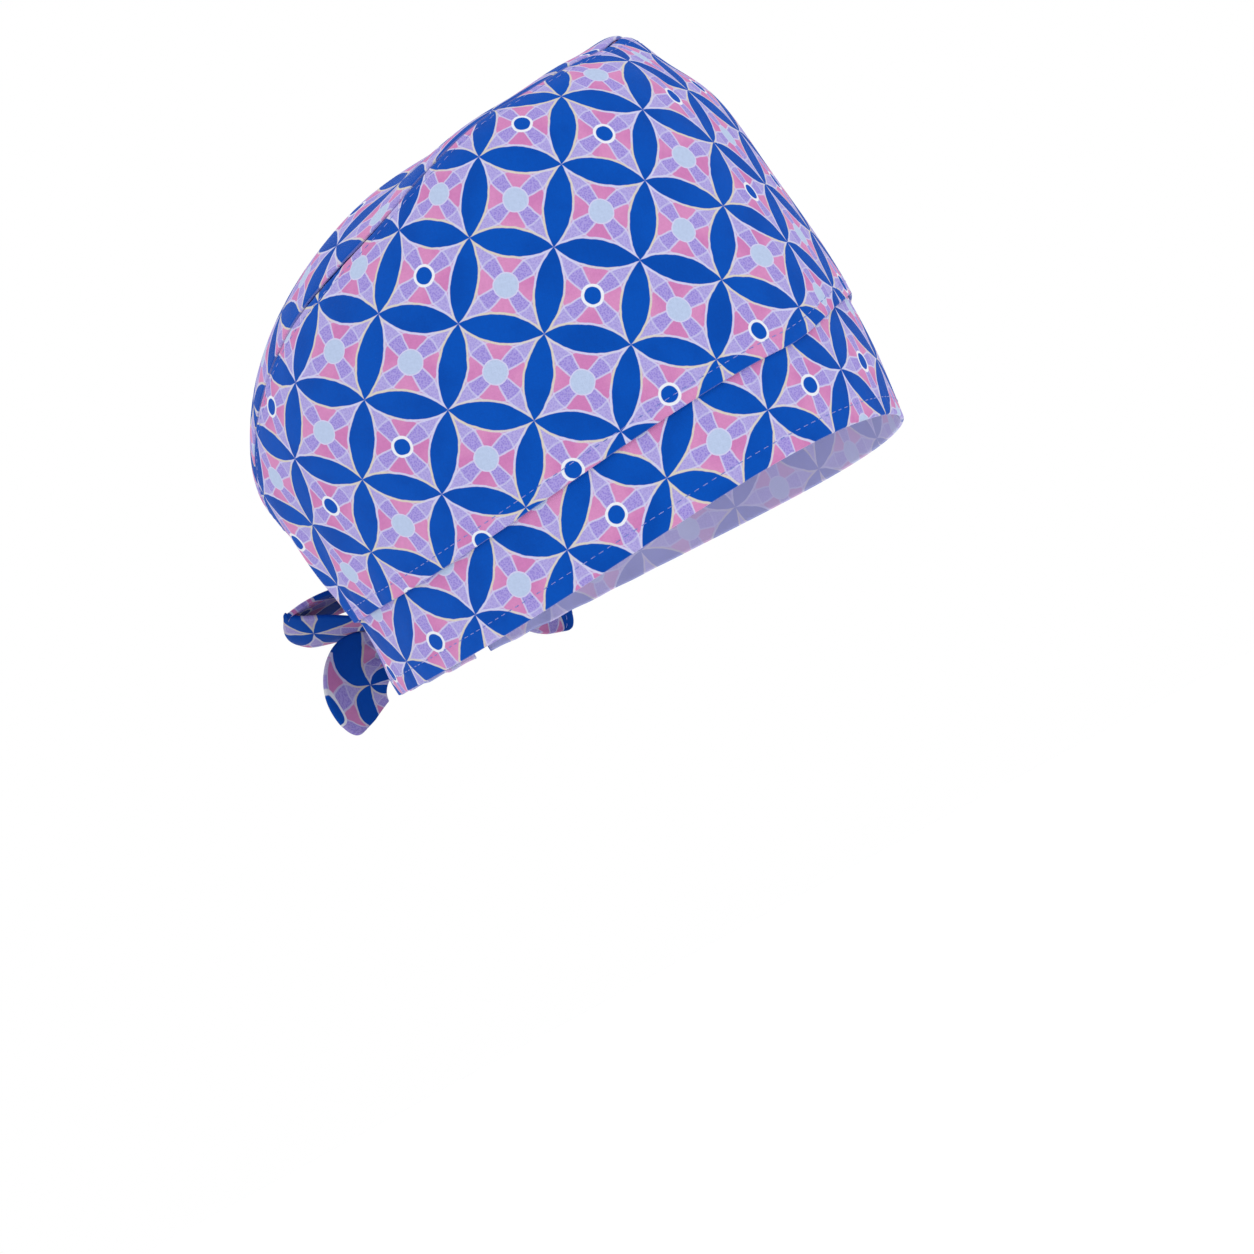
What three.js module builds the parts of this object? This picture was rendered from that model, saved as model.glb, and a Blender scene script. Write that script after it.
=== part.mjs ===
// A surgical scrub cap in its worn form: a tall side wrap, a crown panel over the top and back,
// a band round the rim and a bow tied at the nape. Millimetres, +Z up, front at -Y, the wearer's
// left at +X. The origin is the centre of the rim, where the cap sits on the head.
import * as THREE from 'three';

// Head and crown
const rimHalfWidth = 82;        // outside of the rim, ear to ear
const rimHalfLength = 101;      // outside of the rim, forehead to nape
const crownHeight = 141.5;      // rim plane to the middle of the top
const topCentreBack = -16;      // where the meridians meet on the top, along Y
const rimDip = 2.5;             // the rim rises at front and back and dips over the ears
const browDip = 0.7;            // its small uneven third wave
const topRidgeRise = 10;        // scale of the ridge where the crown's seam crosses the front
const topLean = 5;              // the wearer's left end of that ridge stands higher
const topLeanReach = 36;        // distance from the middle at which the lean is whole

// Cloth
const clothThickness = 1.2;     // two layers of woven cotton pressed together
const strapThickness = 2;       // the ties are folded cloth
const clearance = 0.3;          // air between pieces that are sewn or tied together
const lapDepth = 6;             // how far an under piece runs on beneath the upper one
const seamSink = 2;             // width of the fold where the wrap turns in under the crown
const bandHeight = 28;          // visible height of the band over the ear

// Gathers where the crown is drawn in at the nape
const gatherDepth = 1.1;
const gatherCount = 36;         // waves in a full turn
const gatherReach = 26;         // how far up the crown they fade out
const gatherFrom = 115;         // degrees from the front where they start
const gatherFull = 150;         // degrees where they are whole

// The wrap's two ends stop here, in degrees from the front, and the crown panel comes down
// between them to the band. The band's own ends stop short of the middle under the knot.
const wrapEnd = 150;
const wrapTuck = 5;
const bandEnd = 177.5;

// Bow at the nape
const knotHeight = 22;          // centre above the rim plane
const knotHalf = { x: 9, y: 7.5, z: 11.5 };
const strapWidth = 23;
const loopReach = 56;           // from the knot's centre to the tip of a loop
const tailDrop = 25;            // from the knot's centre down to the cut end of a tail
const tailOut = 38;             // from the knot's centre out to the hanging part of a tail
const loopTilt = 10;            // degrees a loop's front edge droops
const bowSweep = 6;             // degrees loops and tails turn back from the cap

// One row for each direction round the head, in degrees from the front.
// girth: widest reach as a share of the rim; waist: pull-in below it, same share;
// widest: its height as a share of crownHeight; square: 2 is an ellipse, more is a squarer corner;
// lean: how much the wall leans in above; ridge: share of topRidgeRise;
// seam: where the crown's seam runs, as a share of the length from rim to top centre;
// right and left: height of the band on either side as a share of bandHeight.
const shape = [
  { at: 0,   girth: 1.045, waist: 0.000, widest: 0.34, square: 6.50, lean: 0.080, ridge: 0.12, seam: 0.690, right: 1.04, left: 1.04 },
  { at: 25,  girth: 1.045, waist: 0.000, widest: 0.34, square: 6.50, lean: 0.085, ridge: 0.12, seam: 0.695, right: 1.02, left: 1.30 },
  { at: 46,  girth: 1.050, waist: 0.000, widest: 0.34, square: 4.60, lean: 0.100, ridge: 0.09, seam: 0.690, right: 1.00, left: 1.48 },
  { at: 68,  girth: 1.055, waist: 0.000, widest: 0.38, square: 3.05, lean: 0.030, ridge: 0.00, seam: 0.660, right: 0.97, left: 1.36 },
  { at: 95,  girth: 1.065, waist: 0.000, widest: 0.44, square: 2.50, lean: 0.000, ridge: 0.00, seam: 0.585, right: 0.95, left: 1.08 },
  { at: 119, girth: 1.085, waist: 0.015, widest: 0.50, square: 2.10, lean: 0.000, ridge: 0.00, seam: 0.430, right: 0.95, left: 0.97 },
  { at: 131, girth: 1.095, waist: 0.062, widest: 0.53, square: 1.85, lean: 0.000, ridge: 0.00, seam: 0.325, right: 0.94, left: 0.94 },
  { at: 142, girth: 1.100, waist: 0.066, widest: 0.54, square: 1.83, lean: 0.000, ridge: 0.00, seam: 0.235, right: 0.93, left: 0.93 },
  { at: 156, girth: 1.100, waist: 0.060, widest: 0.54, square: 1.86, lean: 0.000, ridge: 0.00, seam: 0.160, right: 0.91, left: 0.91 },
  { at: 180, girth: 1.100, waist: 0.040, widest: 0.54, square: 1.90, lean: 0.000, ridge: 0.00, seam: 0.120, right: 0.89, left: 0.89 },
];

// A loop's path in its own upright plane, from the knot out and back: out as a share of
// loopReach, up as a share of knotHalf.z, wide as a share of strapWidth.
const loopPath = [
  { out: 0.17, up: 0.62, wide: 0.45 },
  { out: 0.38, up: 1.32, wide: 0.72 },
  { out: 0.66, up: 1.62, wide: 0.95 },
  { out: 0.90, up: 1.56, wide: 1.00 },
  { out: 1.00, up: 1.28, wide: 1.00 },
  { out: 0.92, up: 0.92, wide: 1.00 },
  { out: 0.74, up: 0.60, wide: 0.95 },
  { out: 0.46, up: 0.36, wide: 0.72 },
  { out: 0.17, up: 0.26, wide: 0.45 },
];

// A tail's path in the same plane: out as a share of tailOut, down as a share of tailDrop.
const tailPath = [
  { out: 0.25, down: 0.22, wide: 0.42 },
  { out: 0.52, down: 0.27, wide: 0.66 },
  { out: 0.80, down: 0.44, wide: 0.90 },
  { out: 0.97, down: 0.68, wide: 1.00 },
  { out: 1.00, down: 1.00, wide: 1.00 },
];

const rad = THREE.MathUtils.degToRad;
const clamp = THREE.MathUtils.clamp;
const vec = (x, y, z) => new THREE.Vector3(x, y, z);

// A smooth curve through one column of a table that never swings past its rows and lies flat
// at both ends, so that the two sides of the cap meet without a crease.
function column(rows, key, position = 'at') {
  const x = rows.map((row) => row[position]);
  const y = rows.map((row) => row[key]);
  const rise = x.slice(1).map((next, i) => (y[i + 1] - y[i]) / (next - x[i]));
  const slope = y.map((_, i) => {
    if (i === 0 || i === y.length - 1 || rise[i - 1] * rise[i] <= 0) return 0;
    const before = x[i] - x[i - 1];
    const after = x[i + 1] - x[i];
    const a = 2 * after + before;
    const b = after + 2 * before;
    return (a + b) / (a / rise[i - 1] + b / rise[i]);
  });
  return (value) => {
    const v = clamp(value, x[0], x[x.length - 1]);
    let i = 0;
    while (i < x.length - 2 && v > x[i + 1]) i += 1;
    const h = x[i + 1] - x[i];
    const t = (v - x[i]) / h;
    return y[i] * (1 + 2 * t) * (1 - t) ** 2 + h * slope[i] * t * (1 - t) ** 2
      + y[i + 1] * t * t * (3 - 2 * t) + h * slope[i + 1] * t * t * (t - 1);
  };
}

const curves = Object.fromEntries(
  Object.keys(shape[0]).filter((key) => key !== 'at').map((key) => [key, column(shape, key)]));

// The outer face of the cap. at: degrees from the front, positive to the wearer's left;
// rise: 0 at the rim, 1 at the widest ring, 2 at the top centre.
function bodyPoint(at, rise) {
  const turn = Math.abs(at);
  const [sin, cos] = [Math.sin(rad(at)), Math.cos(rad(at))];
  const girth = curves.girth(turn);
  const rim = [rimHalfWidth * sin, -rimHalfLength * cos];
  const rimLift = rimDip * Math.cos(2 * rad(at)) + browDip * Math.cos(3 * rad(at));
  const widest = curves.widest(turn) * crownHeight;
  if (rise <= 1) {
    const out = 1 + (girth - 1) * Math.sin(rise * Math.PI / 2)
      - curves.waist(turn) * Math.sin(Math.PI * rise) ** 1.5;
    return vec(rim[0] * out, rim[1] * out, rimLift + (widest - rimLift) * rise);
  }
  const power = 2 / curves.square(turn);
  const over = Math.min(rise - 1, 1) * Math.PI / 2;
  const inward = Math.max(Math.cos(over), 0) ** power;
  const upward = Math.sin(over) ** power;
  const reach = inward * (1 - curves.lean(turn) * upward ** 1.5);
  const x = rim[0] * girth * reach;
  const y = topCentreBack + (rim[1] * girth - topCentreBack) * reach;
  const shoulder = THREE.MathUtils.smoothstep(inward, 0, 0.62) * upward ** 6;
  const ridge = curves.ridge(turn) * topRidgeRise
    + topLean * clamp(x / topLeanReach, -1, 1) * Math.max(cos, 0);
  return vec(x, y, widest + (crownHeight - widest) * upward + ridge * shoulder);
}

// The line from rim to top centre in one direction, measured along the cloth.
const meridians = new Map();
function meridian(at) {
  if (!meridians.has(at)) {
    const steps = 240;
    const rise = Array.from({ length: steps + 1 }, (_, i) => (2 * i) / steps);
    const points = rise.map((value) => bodyPoint(at, value));
    const length = [0];
    for (let i = 1; i <= steps; i += 1) length.push(length[i - 1] + points[i].distanceTo(points[i - 1]));
    meridians.set(at, { rise, length, total: length[steps] });
  }
  return meridians.get(at);
}

function riseAt(at, along) {
  const { rise, length } = meridian(at);
  let i = 1;
  while (i < length.length - 1 && length[i] < along) i += 1;
  return rise[i - 1] + (rise[i] - rise[i - 1]) * clamp((along - length[i - 1]) / (length[i] - length[i - 1]), 0, 1);
}

const side = (at) => (at > 0 ? 'left' : 'right');
const bandTop = (at) => curves[side(at)](Math.abs(at)) * bandHeight;
const seamAlong = (at) => curves.seam(Math.abs(at)) * meridian(at).total;

function gatherHeight(at, along) {
  const round = THREE.MathUtils.smoothstep(Math.abs(at), gatherFrom, gatherFull);
  const up = Math.exp(-(((along - bandTop(at)) / gatherReach) ** 2));
  return gatherDepth * round * up * Math.cos(gatherCount * rad(at));
}

// A point on the cloth: along is the distance from the rim, depth lies below the outer face.
function clothPoint(at, along, depth) {
  const rise = riseAt(at, along);
  const step = 0.002;
  const low = Math.max(rise - step, 0);
  const high = Math.min(rise + step, 2);
  const round = bodyPoint(at + 0.2, rise).sub(bodyPoint(at - 0.2, rise));
  const up = bodyPoint(at, high).sub(bodyPoint(at, low));
  const normal = rise > 1.995 ? vec(0, 0, 1) : round.cross(up).normalize();
  return bodyPoint(at, rise).addScaledVector(normal, gatherHeight(at, along) - depth);
}

const finish = { crown: 0xb9a6e6, wrap: 0xa99be4, band: 0x8f86dc, knot: 0x3f5fc0, loop: 0x6f74cf, tail: 0x7a6fca };

function piece(name, points, faces, colour) {
  const geometry = new THREE.BufferGeometry();
  geometry.setAttribute('position', new THREE.Float32BufferAttribute(points.flatMap((p) => [p.x, p.y, p.z]), 3));
  geometry.setIndex(faces);
  geometry.computeVertexNormals();
  const material = new THREE.MeshStandardMaterial({ color: colour, roughness: 0.85, metalness: 0 });
  const mesh = new THREE.Mesh(geometry, material);
  mesh.name = name;
  return mesh;
}

// A closed wall of cloth. places lists the directions, stations(at) the rows from the lower edge
// up as { along, depth }. A ring closes on itself; a domed ring also ends in one top point.
function clothPanel(name, places, stations, colour, { ring = false, domed = false } = {}) {
  const outer = places.map((at) => stations(at).map((s) => clothPoint(at, s.along, s.depth)));
  const inner = places.map((at) => stations(at).map((s) => clothPoint(at, s.along, s.depth + clothThickness)));
  const rows = outer[0].length - (domed ? 1 : 0);
  const points = [...outer, ...inner].flatMap((line) => line.slice(0, rows));
  const o = (i, j) => (i % places.length) * rows + j;
  const q = (i, j) => places.length * rows + o(i, j);
  const faces = [];
  const quad = (a, b, c, d) => faces.push(a, b, c, a, c, d);
  const spans = ring ? places.length : places.length - 1;
  for (let i = 0; i < spans; i += 1) {
    for (let j = 0; j < rows - 1; j += 1) {
      quad(o(i, j), o(i + 1, j), o(i + 1, j + 1), o(i, j + 1));
      quad(q(i, j), q(i, j + 1), q(i + 1, j + 1), q(i + 1, j));
    }
    quad(o(i, 0), q(i, 0), q(i + 1, 0), o(i + 1, 0));
    if (!domed) quad(o(i, rows - 1), o(i + 1, rows - 1), q(i + 1, rows - 1), q(i, rows - 1));
  }
  if (!ring) {
    const last = places.length - 1;
    for (let j = 0; j < rows - 1; j += 1) {
      quad(o(0, j), o(0, j + 1), q(0, j + 1), q(0, j));
      quad(o(last, j), q(last, j), q(last, j + 1), o(last, j + 1));
    }
  }
  if (domed) {
    const [topOuter, topInner] = [points.length, points.length + 1];
    points.push(outer[0][rows], inner[0][rows]);
    for (let i = 0; i < spans; i += 1) {
      faces.push(o(i, rows - 1), o(i + 1, rows - 1), topOuter);
      faces.push(q(i + 1, rows - 1), q(i, rows - 1), topInner);
    }
  }
  return piece(name, points, faces, colour);
}

// Directions from one to another, closer together where the gathers are.
function directions(from, to, extra = []) {
  const list = [...extra];
  for (let at = 0; at <= 180; at += at < gatherFrom ? 5 : 2.5) list.push(at, -at);
  return [...new Set([...list, from, to])].filter((at) => at >= from && at <= to).sort((a, b) => a - b);
}

const share = (count) => Array.from({ length: count }, (_, i) => i / (count - 1));
const underDepth = clothThickness + clearance;
const stepTurn = 1.25;           // degrees for each step of the wrap's end in under the crown

const wrapReach = wrapEnd + wrapTuck;
const wrapSteps = [0, 1, 2, 3].map((n) => wrapEnd + n * stepTurn);
const wrapEdges = [...wrapSteps, wrapReach].flatMap((at) => [-at, at]);

// Side wrap: its lower edge laps over the band, and its upper edge folds in under the crown. At
// each end it steps up off the band and then goes in beneath the crown panel's side edge.
function wrapStations(at) {
  const raised = Math.abs(at) > wrapSteps[0];
  const tucked = Math.abs(at) > wrapSteps[1];
  const bottom = bandTop(at) + (raised ? lapDepth + clearance : 0);
  const lap = bandTop(at) + lapDepth + (raised ? 2 * clearance : 0);
  const fold = seamAlong(at) - seamSink;
  const wall = [bottom, ...share(8).map((t) => lap + (fold - lap) * t)]
    .map((along) => ({ along, depth: tucked ? underDepth : 0 }));
  return [...wall, { along: seamAlong(at), depth: underDepth },
    { along: seamAlong(at) + lapDepth, depth: underDepth }];
}
const sideWrap = clothPanel('side_wrap', directions(-wrapReach, wrapReach, wrapEdges), wrapStations, finish.wrap);

// Crown panel: over the top from the front seam, and down to the band between the wrap's ends.
function crownStations(at) {
  const over = Math.abs(at) <= wrapSteps[2];
  const edge = over ? seamAlong(at) + clearance : bandTop(at);
  const lap = (over ? seamAlong(at) : edge) + lapDepth;
  const { total } = meridian(at);
  return [edge, ...share(10).map((t) => lap + (total - lap) * t)].map((along) => ({ along, depth: 0 }));
}
const crownPanel = clothPanel('crown_panel', directions(-177.5, 180, wrapEdges), crownStations, finish.crown,
  { ring: true, domed: true });

// Brim band: stands at the outer face at the rim and runs in under the wrap and the crown.
function bandStations(at) {
  const top = bandTop(at);
  return [
    { along: 0, depth: 0 },
    { along: top * 0.5, depth: underDepth * 0.35 },
    { along: top - seamSink, depth: underDepth },
    { along: top, depth: underDepth },
    { along: top + lapDepth, depth: underDepth },
  ];
}
const brimBand = clothPanel('brim_band', directions(-bandEnd, bandEnd, wrapEdges), bandStations, finish.band);

// The knot's front bears on the gathered cloth behind it over the middle of its height.
const backReach = Math.max(...share(9).map((t) => {
  const along = knotHeight + knotHalf.z * (t - 0.5);
  const depth = along < bandTop(180) ? underDepth : 0;
  return clothPoint(180, along, depth).y;
})) + clearance;
const knotCentre = vec(0, backReach + knotHalf.y, knotHeight);

function tieKnot() {
  const [around, up] = [20, 10];
  const blunt = (value, power) => Math.sign(value) * Math.abs(value) ** power;
  const ringPoint = (i, j) => {
    const turn = (2 * Math.PI * i) / around;
    const lift = Math.PI * (j / up - 0.5);
    return vec(
      knotHalf.x * blunt(Math.cos(turn), 0.55) * blunt(Math.cos(lift), 0.6),
      knotHalf.y * blunt(Math.sin(turn), 0.8) * blunt(Math.cos(lift), 0.6),
      knotHalf.z * blunt(Math.sin(lift), 0.8)).add(knotCentre);
  };
  const points = [];
  for (let j = 1; j < up; j += 1) for (let i = 0; i < around; i += 1) points.push(ringPoint(i, j));
  const id = (i, j) => (j - 1) * around + (i % around);
  const [low, high] = [points.length, points.length + 1];
  points.push(vec(0, 0, -knotHalf.z).add(knotCentre), vec(0, 0, knotHalf.z).add(knotCentre));
  const faces = [];
  for (let i = 0; i < around; i += 1) {
    for (let j = 1; j < up - 1; j += 1) {
      faces.push(id(i, j), id(i + 1, j), id(i + 1, j + 1), id(i, j), id(i + 1, j + 1), id(i, j + 1));
    }
    faces.push(id(i + 1, 1), id(i, 1), low, id(i, up - 1), id(i + 1, up - 1), high);
  }
  return piece('tie_knot', points, faces, finish.knot);
}

// A strap along a path in an upright plane. hand is 1 for the wearer's left and -1 for the right.
// Flat straps lie in the plane, as a tail does; the others stand across it, as a loop does.
function strap(name, hand, path, flat, tilt, colour) {
  const out = vec(hand * Math.cos(rad(bowSweep)), Math.sin(rad(bowSweep)), 0);
  const up = vec(0, 0, 1);
  const across = vec(-hand * Math.sin(rad(bowSweep)), Math.cos(rad(bowSweep)), 0);
  const line = new THREE.CatmullRomCurve3(path.map((p) => vec(p.out, p.up, p.wide)), false, 'centripetal');
  const sections = 4 * (path.length - 1);
  const points = [];
  for (let k = 0; k <= sections; k += 1) {
    const spot = line.getPoint(k / sections);
    const ahead = line.getTangent(k / sections);
    const forward = out.clone().multiplyScalar(ahead.x).addScaledVector(up, ahead.y).normalize();
    const plane = up.clone().multiplyScalar(ahead.x).addScaledVector(out, -ahead.y).normalize();
    const width = flat ? plane : across.clone().multiplyScalar(Math.cos(rad(tilt)))
      .addScaledVector(up, Math.sin(rad(tilt)));
    const face = forward.clone().cross(width).normalize().multiplyScalar(strapThickness / 2);
    const half = width.clone().normalize().multiplyScalar(spot.z / 2);
    const centre = knotCentre.clone().addScaledVector(out, spot.x).addScaledVector(up, spot.y);
    for (const [w, f] of [[-1, -1], [0, -1], [1, -1], [1, 1], [0, 1], [-1, 1]]) {
      points.push(centre.clone().addScaledVector(half, w).addScaledVector(face, f));
    }
  }
  const faces = [];
  const ring = 6;
  const id = (k, m) => k * ring + (m % ring);
  for (let k = 0; k < sections; k += 1) {
    for (let m = 0; m < ring; m += 1) {
      faces.push(id(k, m), id(k, m + 1), id(k + 1, m + 1), id(k, m), id(k + 1, m + 1), id(k + 1, m));
    }
  }
  for (const [k, flip] of [[0, true], [sections, false]]) {
    for (const m of [0, 1]) {
      const corners = [id(k, m), id(k, m + 1), id(k, 4 - m), id(k, 5 - m)];
      if (flip) corners.reverse();
      faces.push(corners[0], corners[1], corners[2], corners[0], corners[2], corners[3]);
    }
  }
  return piece(name, points, faces, colour);
}

const knotSide = knotHalf.x + clearance;
const clearOfKnot = (value) => Math.max(value, knotSide);
const loopLine = loopPath.map((p) => ({
  out: clearOfKnot(p.out * loopReach), up: p.up * knotHalf.z, wide: p.wide * strapWidth }));
const tailLine = tailPath.map((p) => ({
  out: clearOfKnot(p.out * tailOut), up: -p.down * tailDrop, wide: p.wide * strapWidth }));

const group = new THREE.Group();
group.name = 'scrub_cap';
group.add(sideWrap, crownPanel, brimBand, tieKnot());
for (const [word, hand] of [['right', -1], ['left', 1]]) {
  group.add(strap(`${word}_tie_loop`, hand, loopLine, false, loopTilt, finish.loop));
  group.add(strap(`${word}_tie_tail`, hand, tailLine, true, 0, finish.tail));
}

export default group;
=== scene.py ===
"""Scrub cap in its worn form: printed cotton pieces, stitches and tied bow over the CAD frame.

All lengths are metres, +Z up, front at -Y, the wearer's left at +X, origin at the rim's centre.
"""

import math

import bpy
import numpy as np
from mathutils import Matrix, Vector


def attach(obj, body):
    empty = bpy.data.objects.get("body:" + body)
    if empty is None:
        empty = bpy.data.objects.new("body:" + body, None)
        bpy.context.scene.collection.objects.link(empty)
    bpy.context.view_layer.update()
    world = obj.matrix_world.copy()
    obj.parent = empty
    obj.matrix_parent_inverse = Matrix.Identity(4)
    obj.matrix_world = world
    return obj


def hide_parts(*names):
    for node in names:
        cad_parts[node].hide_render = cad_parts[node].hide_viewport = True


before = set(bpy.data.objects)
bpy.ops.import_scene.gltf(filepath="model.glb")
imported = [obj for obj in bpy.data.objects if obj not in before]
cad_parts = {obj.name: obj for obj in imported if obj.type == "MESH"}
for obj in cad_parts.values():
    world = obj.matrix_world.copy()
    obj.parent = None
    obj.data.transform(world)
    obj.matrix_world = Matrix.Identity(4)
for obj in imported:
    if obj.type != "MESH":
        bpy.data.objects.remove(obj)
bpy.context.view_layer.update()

bl_info = {
    "name": "Scrub Cap",
    "version": (1, 0, 0),
    "blender": (4, 5, 0),
    "location": "3D View > Sidebar > Scrub Cap",
    "description": "Builds a worn scrub cap of printed cotton, with its band, seams and tied bow",
    "category": "Add Mesh",
}

MM = 0.001

# Sizes shared with the solids.
RIM_HALF_WIDTH = 82 * MM
RIM_HALF_LENGTH = 101 * MM
CROWN_HEIGHT = 141.5 * MM
TOP_CENTRE_BACK = -16 * MM
RIM_DIP = 2.5 * MM
BROW_DIP = 0.7 * MM
TOP_RIDGE_RISE = 10 * MM
TOP_LEAN = 5 * MM
TOP_LEAN_REACH = 36 * MM
CLOTH = 1.2 * MM
STRAP = 2 * MM
CLEARANCE = 0.3 * MM
LAP = 6 * MM
SEAM_SINK = 2 * MM
BAND_HEIGHT = 28 * MM
GATHER_DEPTH = 1.1 * MM
GATHER_COUNT = 36
GATHER_REACH = 26 * MM
GATHER_FROM = 115
GATHER_FULL = 150
WRAP_REACH = 155
SEWN_REACH = 149
BAND_END = 177.5
KNOT_HEIGHT = 22 * MM
KNOT_HALF = (9 * MM, 7.5 * MM, 11.5 * MM)
STRAP_WIDTH = 23 * MM
LOOP_REACH = 56 * MM
TAIL_DROP = 25 * MM
TAIL_OUT = 38 * MM
BOW_SWEEP = 6
UNDER = CLOTH + CLEARANCE

# Sizes of the sewing and of the cloth's low relief.
HEM_STITCH = 5.6 * MM
BAND_STITCH = 4.5 * MM
CROWN_STITCH = 5.0 * MM
HEM_PUCKER = 5.5 * MM
CROWN_PUCKER = 4.5 * MM
PUCKER_REACH = 3.2 * MM
LONG_DRIFT = 0.45 * MM
SHORT_DRIFT = 0.30 * MM
PULL_HEIGHT = 0.45 * MM
PULL_ABOVE = 5 * MM
PULL_REACH = 9 * MM
POLE_FADE = 24 * MM
STRAP_DRIFT = 0.7 * MM
LOOP_CURL = -1.2 * MM
TAIL_CURL = 0.8 * MM

# Degrees from the front over which the wrap rises off the band and tucks in, and over which the
# crown's edge comes down from the seam to the band.
WRAP_RISES = (149.6, 150.4)
WRAP_TUCKS = (150.0, 151.6)
CROWN_DROPS = (152.0, 153.5)

# Points on a folded edge between its two faces.
FOLD = 5

# Side of one square of the print as drawn, and how far the back of the cloth fades.
PRINT_SQUARE = 26.1 * MM
BACK_FADE = 0.62

# How light each cloth is printed. The ties' lower value is painted shade: they hang in the shade, so their
# colour is darkened to look deeper.
PRINT_TONE_AND_PAINTED_SHADE = {"wrap_cloth": 0.82, "crown_cloth": 0.82, "band_cloth": 0.82, "tie_cloth": 0.57}


def columns(names, rows):
    """A table of numbers as one array for each named column."""
    return dict(zip(names.split(), np.array(rows, float).T))


# One row for each direction round the head, in degrees from the front, as shares of the sizes.
SHAPE = columns("at girth waist widest square lean ridge seam right left", [
    (0, 1.045, 0, 0.34, 6.5, 0.08, 0.12, 0.69, 1.04, 1.04),
    (25, 1.045, 0, 0.34, 6.5, 0.085, 0.12, 0.695, 1.02, 1.3),
    (46, 1.05, 0, 0.34, 4.6, 0.1, 0.09, 0.69, 1.0, 1.48),
    (68, 1.055, 0, 0.38, 3.05, 0.03, 0, 0.66, 0.97, 1.36),
    (95, 1.065, 0, 0.44, 2.5, 0, 0, 0.585, 0.95, 1.08),
    (119, 1.085, 0.015, 0.5, 2.1, 0, 0, 0.43, 0.95, 0.97),
    (131, 1.095, 0.062, 0.53, 1.85, 0, 0, 0.325, 0.94, 0.94),
    (142, 1.1, 0.066, 0.54, 1.83, 0, 0, 0.235, 0.93, 0.93),
    (156, 1.1, 0.06, 0.54, 1.86, 0, 0, 0.16, 0.91, 0.91),
    (180, 1.1, 0.04, 0.54, 1.9, 0, 0, 0.12, 0.89, 0.89),
])

# A loop's line in its own upright plane, from the knot out and back, as shares of the loop's
# reach, the knot's half height and the strap's width: out, up, wide, lean and skew. Lean and
# skew turn the strap's width downwards and inwards, so that the lower strand shows its face.
LOOP_PATH = [
    (0.17, 0.66, 0.45, 0.00, 0.00),
    (0.38, 1.36, 0.72, -0.18, -0.15),
    (0.60, 1.64, 0.95, -0.30, -0.35),
    (0.82, 1.64, 1.00, -0.36, -0.50),
    (0.945, 1.44, 1.00, -0.42, -0.55),
    (0.88, 1.14, 1.00, -0.42, -0.50),
    (0.70, 0.82, 0.95, -0.36, -0.35),
    (0.45, 0.48, 0.72, -0.18, -0.15),
    (0.17, 0.28, 0.45, 0.00, 0.00),
]

# A tail's line in the same plane: out, down and wide, as shares of the tail's reach, its drop
# and the strap's width.
TAIL_PATH = [
    (0.25, 0.16, 0.42),
    (0.58, 0.18, 0.68),
    (0.95, 0.20, 0.98),
    (1.10, 0.46, 1.00),
    (1.09, 0.74, 0.96),
    (1.06, 0.90, 0.66),
]

# How the print runs round the head: across is measured along the cloth, in metres, and grows
# towards the wearer's left. Slant is how much it leans with height.
WRAP_PRINT = columns("at across slant", [
    (-155, -0.200, 0.25),
    (-125, -0.149, 0.25),
    (-95, -0.098, 0.22),
    (-64, -0.050, 0.10),
    (-33, 0.001, 0.08),
    (0, 0.054, 0.08),
    (12, 0.070, 0.08),
    (28, 0.109, 0.08),
    (60, 0.168, 0.04),
    (155, 0.330, 0.0),
])
BAND_PRINT = columns("at across", [
    (-178, -0.250),
    (-109, -0.150),
    (-82, -0.1125),
    (-58, -0.075),
    (-35, -0.0375),
    (-10, 0.0),
    (5, 0.022),
    (25, 0.057),
    (178, 0.310),
])

# Small dents, creases and bulges on the crown and wrap, in the order at, along, wide, tall, turn,
# rise. At and along place them, wide and tall are their half sizes in degrees and metres, turn
# leans them, and rise is their height.
DENTS = [
    (-62, 0.150, 16, 0.018, 0.0, -0.0012),
    (-35, 0.120, 12, 0.030, 0.2, 0.0008),
    (-20, 0.060, 14, 0.030, 0.0, -0.0007),
    (-95, 0.085, 11, 0.030, 0.3, 0.0010),
    (-112, 0.055, 5, 0.020, 0.8, -0.0014),
    (-122, 0.045, 3, 0.016, 0.6, 0.0013),
    (18, 0.110, 10, 0.026, 0.0, -0.0009),
    (42, 0.088, 12, 0.022, 0.0, -0.0016),
    (27, 0.148, 9, 0.009, 0.0, 0.0028),
    (29, 0.130, 16, 0.012, 0.0, -0.0021),
    (-33, 0.170, 22, 0.013, 0.0, -0.0026),
    (5, 0.182, 40, 0.014, 0.0, -0.0014),
    (-139, 0.037, 8, 0.012, 0.0, -0.0010),
    (15.5, 0.117, 1.6, 0.008, -0.6, -0.0007),
    (-101, 0.036, 2.2, 0.010, 0.5, -0.0008),
    (-128, 0.036, 2.6, 0.013, 0.3, 0.0010),
    (-133, 0.044, 2.4, 0.014, 0.2, -0.0010),
    (75, 0.100, 14, 0.034, 0.2, -0.0012),
    (105, 0.070, 10, 0.026, -0.4, 0.0011),
    (125, 0.048, 4, 0.020, -0.7, -0.0013),
    (165, 0.105, 12, 0.030, 0.0, -0.0012),
    (-160, 0.120, 12, 0.028, 0.2, 0.0010),
    (180, 0.150, 20, 0.024, 0.0, -0.0010),
]


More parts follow.
